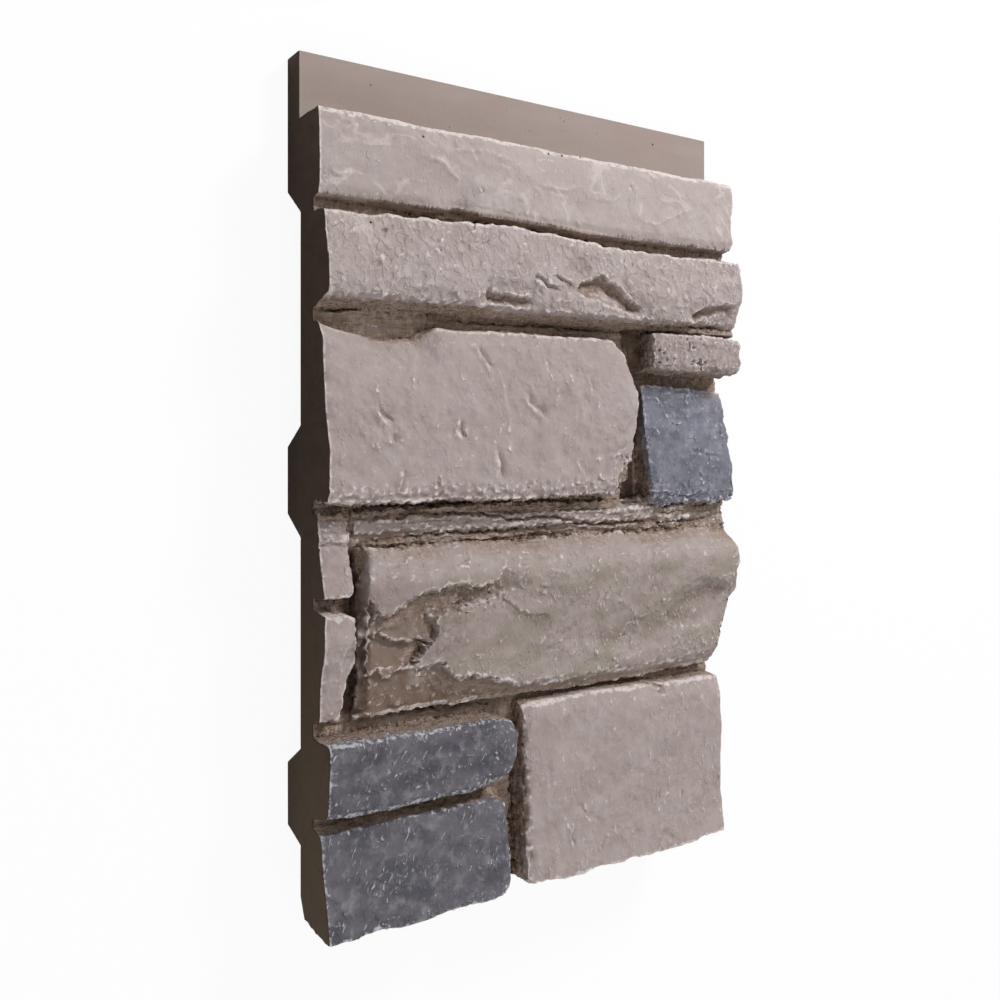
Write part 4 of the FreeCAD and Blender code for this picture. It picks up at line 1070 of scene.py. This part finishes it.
def slate_coat(paint, patterns):
    grey, swell, sharp, proud, brink = paint.guides("grey", "swell", "sharp", "proud", "brink")
    colour = paint.layers(SLATE, (GREY, grey))
    dark = paint.layers(SLATE_DARK, (GREY_DARK, grey))
    amount = 0.75 - grey * 0.2
    patch = paint.noise((2.4, 1.8, 2.4), -20, 4, 0.65)
    uneven = patch - 0.5
    # Brushed paint and painted highlight on sharp ridges and on upper and lower edges.
    edge = (
        (sharp + uneven * 0.5).ramp(0.08, 0.24)
        | (brink.ramp(1.5, 4) * patch.ramp(0.46, 0.58))
        | (pale_edge(paint, patch, 1.8, 1.7) * patch.ramp(0.46, 0.6))
    )
    return paint.layers(
        colour,
        (dark, paint.noise((14, 9, 12), 0, 3).ramp(0.4, 0.65) * 0.7),
        # Painted shade: darker in each hollow and in each crack.
        (dark, (0.04 - swell * 0.6 - uneven * 0.8).ramp(0.1, 0.6) * 0.6),
        (dark, (uneven * -0.25 - sharp).ramp(0.06, 0.3) * 0.7),
        (SLATE_BRUSHED_AND_HIGHLIGHT, paint.noise((7, 6, 6), 55, 3, 0.6).ramp(0.48, 0.75) * 0.22),
        # Brushed paint and painted highlight where the face stands out.
        (SLATE_BRUSHED_AND_HIGHLIGHT, (proud * 1.6 + uneven * 1.4).ramp(0.3, 0.95) * amount * 0.6),
        (SLATE_BRUSHED_AND_HIGHLIGHT, edge * 0.9),
        (SLATE_BRUSHED_AND_HIGHLIGHT, patterns.strokes * amount),
    )


# %% [markdown]
# The joints are the darkest part. A brown stain was sprayed into them, it ran
# down the stones' undersides in streaks, and it fades out upwards in a fuzzy
# line. Over it goes painted shade: under the overhanging stones, along the
# cracks at the joints' floor and in the deep gaps. The guides say how deep and
# how tucked in a place is. Noise drawn out along the panel's height gives the
# streaks.

# %% Joint stain and painted shade
MORTAR = tone(160, 137, 120)
MORTAR_PALE = tone(188, 171, 159)
STAIN_AND_SHADE = tone(64, 45, 32)
# from the cut end, from the bottom, radius: air bubbles that broke at the surface, painted as dark dots for
# the shade inside them
PINHOLES = [
    (52.2, 357.8, 0.7), (124.5, 361.3, 0.7), (133.2, 361.8, 0.8), (144.8, 362.7, 0.7), (213.3, 385.4, 0.7),
    (36.0, 385.0, 0.5), (17.3, 318.6, 0.9), (22.4, 313.5, 0.7), (247.0, 127.5, 0.9), (150.2, 387.6, 0.4),
]


def pinholes(paint):
    """1 in each of the listed bubbles and 0 elsewhere."""
    flat = paint.node("ShaderNodeVectorMath", {"operation": "MULTIPLY"}, {0: paint.place, 1: (1, 1, 0)})
    holes = 0
    for along_x, up_y, radius in PINHOLES:
        spot = (along_x + LOW[0], up_y + LOW[1], 0)
        away = paint.node("ShaderNodeVectorMath", {"operation": "DISTANCE"}, {0: flat, 1: spot}, "Value")
        holes = holes | (1 - away.ramp(radius * 0.6, radius))
    return holes


def stained_and_shaded(paint, coat):
    sunk, tucked, sharp, brink, mild, gap = paint.guides("sunk", "tucked", "sharp", "brink", "mild", "gap")
    streak = paint.noise((0.9, 4.5, 1.4), 0, 3, 0.6) - 0.5
    grit = paint.noise((2, 2, 2), 0, 3, 0.6) - 0.5
    bed = (sunk + grit * 5).ramp(3.5, 8)
    seams = (paint.noise((7, 1.2, 2), 2, 4, 0.65) + streak * 0.3).ramp(0.52, 0.68)
    mortar = paint.layers(
        MORTAR,
        (MORTAR_PALE, paint.noise((3, 5, 3), 0, 4, 0.65).ramp(0.42, 0.62) * 0.7),
        (STAIN_AND_SHADE, seams * 0.45),
    )
    harsh = 1 - mild * 0.8
    # Painted shade under the overhanging stones, mixed with the sprayed stain.
    stain_and_shade = (tucked + streak * 11 + grit * 4).ramp(9, 20) * harsh
    # Painted shade: dark lines in the concave cracks at the joints' floor.
    crack = (grit * 0.5 - sharp).ramp(0.1, 0.34) * bed * harsh
    fringe = (brink + streak * 12).ramp(3, 8) * paint.from_foot.ramp(318, 324)
    return paint.layers(
        coat,
        (mortar, bed * 0.85),
        # Streaks of stain and painted shade under the overhangs.
        (STAIN_AND_SHADE, streak.ramp(0, 0.14) * tucked.ramp(2, 6) * 0.65),
        (STAIN_AND_SHADE, ((stain_and_shade * 0.7) | (fringe * 0.9) | crack) * 0.88),
        # Painted shade: the deep gaps painted near-black.
        (STAIN_AND_SHADE, gap * 0.8),
    )


# %% [markdown]
# The back and the flat cut end show the foam itself, moulded or sawn smooth
# and not painted: a warm brown, set darker as painted shade for the cut end
# that faces away from the lamps, with faint flow marks and pinholes painted
# as dark specks. The top lip got the taupe paint, but plain, with no brushing.

# %% Bare foam in painted shade and the painted lip
# Painted shade: the foam tones are set dark for the cut end, which lies in shade.
FOAM_AND_SHADE = tone(62, 46, 33)
FOAM_DARK = tone(50, 36, 25)
FOAM_PALE = tone(98, 84, 66)
LIP = tone(152, 137, 130)


def masks(paint):
    """Where the foam is bare and where the lip is: 1 there and 0 elsewhere."""
    on_lip = paint.from_foot.ramp(359, 360)
    lip = on_lip * (1 - paint.height.ramp(13.9, 14.4))
    back = 1 - paint.height.ramp(15.9 - on_lip * 3.6, 16.5 - on_lip * 3.6)
    return back | (1 - paint.from_end.ramp(0.05, 0.5)), lip


def bare_foam(paint, coat, bare, lip):
    foam_and_shade = paint.layers(
        FOAM_AND_SHADE,
        (FOAM_DARK, paint.noise((30, 9, 12), 8, 4).ramp(0.3, 0.7) * 0.6),
        (FOAM_PALE, (1 - paint.from_foot.ramp(0, 240)) * 0.6),
        # Pinholes in the foam: dark specks, the painted shade of the holes.
        (FOAM_DARK, paint.specks(4.5, 0.12) * 0.8),
    )
    plain = paint.layers(
        LIP,
        (TAUPE, paint.noise((40, 14, 10), 0, 3).ramp(0.3, 0.7) * 0.3),
        # Pinholes in the lip: dark specks, the painted shade of the holes.
        (TAUPE_DARK, paint.specks(9, 0.07) * 0.8),
    )
    # The listed bubbles are painted dark, as painted shade.
    return paint.layers(coat, (plain, lip), (STAIN_AND_SHADE, pinholes(paint)), (foam_and_shade, bare))


# %% [markdown]
# The relief finer than the mesh is bump: it bends the light but moves nothing.
# Stone gets grain of about a millimetre, the joints get more, and the lip and
# the foam get hardly any.

# %% Fine grain and assembly


def fine_grain(paint, patterns, accent, bare, lip):
    """The direction of the surface, bent by bumps whose height is in millimetres."""
    coarse, sunk = paint.guides("coarse", "sunk")
    calm = paint.noise((16, 12, 14), 30, 1).ramp(0.35, 0.65) * 0.3 + 0.1 + coarse * 0.2
    fine = paint.noise((1.3, 1.9, 1.3), 0, 3, 0.65) * calm
    smooth = paint.from_foot.ramp(322, 326) * 0.2
    bumps = patterns.lumps * (0.35 - smooth) + patterns.lumps.ramp(0.44, 0.56) * coarse * 0.32
    wavy = paint.noise((44, 32, 30), 0, 0).ramp(0.4, 0.62) * 0.9 + 0.7
    bumps = bumps + paint.noise((9, 8, 8), 25, 2, 0.5) * (1.5 - smooth * 4) * wavy
    joint = sunk.ramp(3, 7) * (
        paint.noise((1.2, 4.5, 1.8), 0, 3, 0.7) * 1.5 + paint.noise((7, 1.2, 2), 2, 3, 0.65) * 1.6
    )
    chips = patterns.crumbs + patterns.feathers * (1 - accent) * 0.5 + accent * patterns.strokes * 0.8
    height = (fine * (1 + accent * 0.7) + bumps + chips + joint) * (1 - bare) * (1 - lip * 0.9)
    return paint.node("ShaderNodeBump", None, {"Strength": 1, "Distance": MM, "Height": height}, "Normal")


def stone_paint():
    paint = Paint("stone_paint")
    patterns = Patterns(paint)
    bare, lip = masks(paint)
    slate, grey = paint.guides("slate", "grey")
    accent = slate | grey
    coat = paint.layers(taupe_coat(paint, patterns), (slate_coat(paint, patterns), accent))
    plug(paint.shader.inputs["Base Color"], bare_foam(paint, stained_and_shaded(paint, coat), bare, lip))
    plug(paint.shader.inputs["Roughness"], 0.74 + paint.noise((8, 8, 8), 0, 3) * 0.16)
    plug(paint.shader.inputs["Normal"], fine_grain(paint, patterns, accent, bare, lip))
    plug(paint.shader.inputs["Specular IOR Level"], 0.22)
    print("stone paint nodes", len(paint.tree.nodes))
    return paint.material


skin.data.materials.append(stone_paint())
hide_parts("stone_panel")
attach(skin, "root")

# %% [markdown]
# The panel lies on a plain pale floor. To the camera the floor is mostly a white
# card, as in a catalogue picture, and it still keeps a little of the shadow.

# %% Floor
FLOOR_REACH = 3.0
CARD_SHARE = 0.93


def add_floor():
    mesh = bpy.data.meshes.new("floor")
    corners = [(x * FLOOR_REACH, y * FLOOR_REACH, 0) for x, y in ((-1, -1), (1, -1), (1, 1), (-1, 1))]
    mesh.from_pydata(corners, [], [(0, 1, 2, 3)])
    floor = add_thing("floor", mesh)
    paint = Paint("floor_white")
    plug(paint.shader.inputs["Base Color"], (0.85, 0.85, 0.85))
    plug(paint.shader.inputs["Roughness"], 0.9)
    card = paint.node("ShaderNodeEmission", None, {"Color": (1, 1, 1), "Strength": 1}, "Emission")
    seen = paint.node("ShaderNodeLightPath", None, None, "Is Camera Ray")
    both = paint.node(
        "ShaderNodeMixShader", None,
        {0: seen * CARD_SHARE, 1: Wire(paint, paint.shader.outputs["BSDF"]), 2: card}, "Shader",
    )
    plug(paint.tree.nodes["Material Output"].inputs["Surface"], both)
    mesh.materials.append(paint.material)
    return floor


print("floor", add_floor().name)

# %% [markdown]
# The light comes softly from beyond the panel's far top corner, as from a
# large window. It grazes the stones enough to show their relief, leaves the
# cut end and the stones' undersides in shade, and is no stronger than plain
# daylight on a white card.

# %% Lamps


def add_lamp(name, place, size, power):
    lamp = add_thing(name, bpy.data.lights.new(name, "AREA"))
    lamp.data.size = size
    lamp.data.energy = power
    lamp.location = place
    lamp.rotation_euler = (-Vector(place)).to_track_quat("-Z", "Y").to_euler()
    return lamp


def add_sky(strength):
    world = bpy.data.worlds.new("studio")
    scene.world = world
    world.use_nodes = True
    nodes, links = world.node_tree.nodes, world.node_tree.links
    glow = nodes["Background"]
    glow.inputs["Color"].default_value = (1, 1, 1, 1)
    glow.inputs["Strength"].default_value = strength
    card = nodes.new("ShaderNodeBackground")
    card.inputs["Color"].default_value = (1, 1, 1, 1)
    card.inputs["Strength"].default_value = 1
    seen = nodes.new("ShaderNodeLightPath")
    both = nodes.new("ShaderNodeMixShader")
    links.new(seen.outputs["Is Camera Ray"], both.inputs[0])
    links.new(glow.outputs["Background"], both.inputs[1])
    links.new(card.outputs["Background"], both.inputs[2])
    links.new(both.outputs["Shader"], nodes["World Output"].inputs["Surface"])


add_lamp("window", (0.75, 1.05, 0.95), 0.36, 21)
add_lamp("soft_fill", (-0.3, 0.9, 2.6), 1.6, 7)
add_lamp("low_fill", (-0.2, -1.6, 1.8), 1.2, 16)
add_sky(0.32)
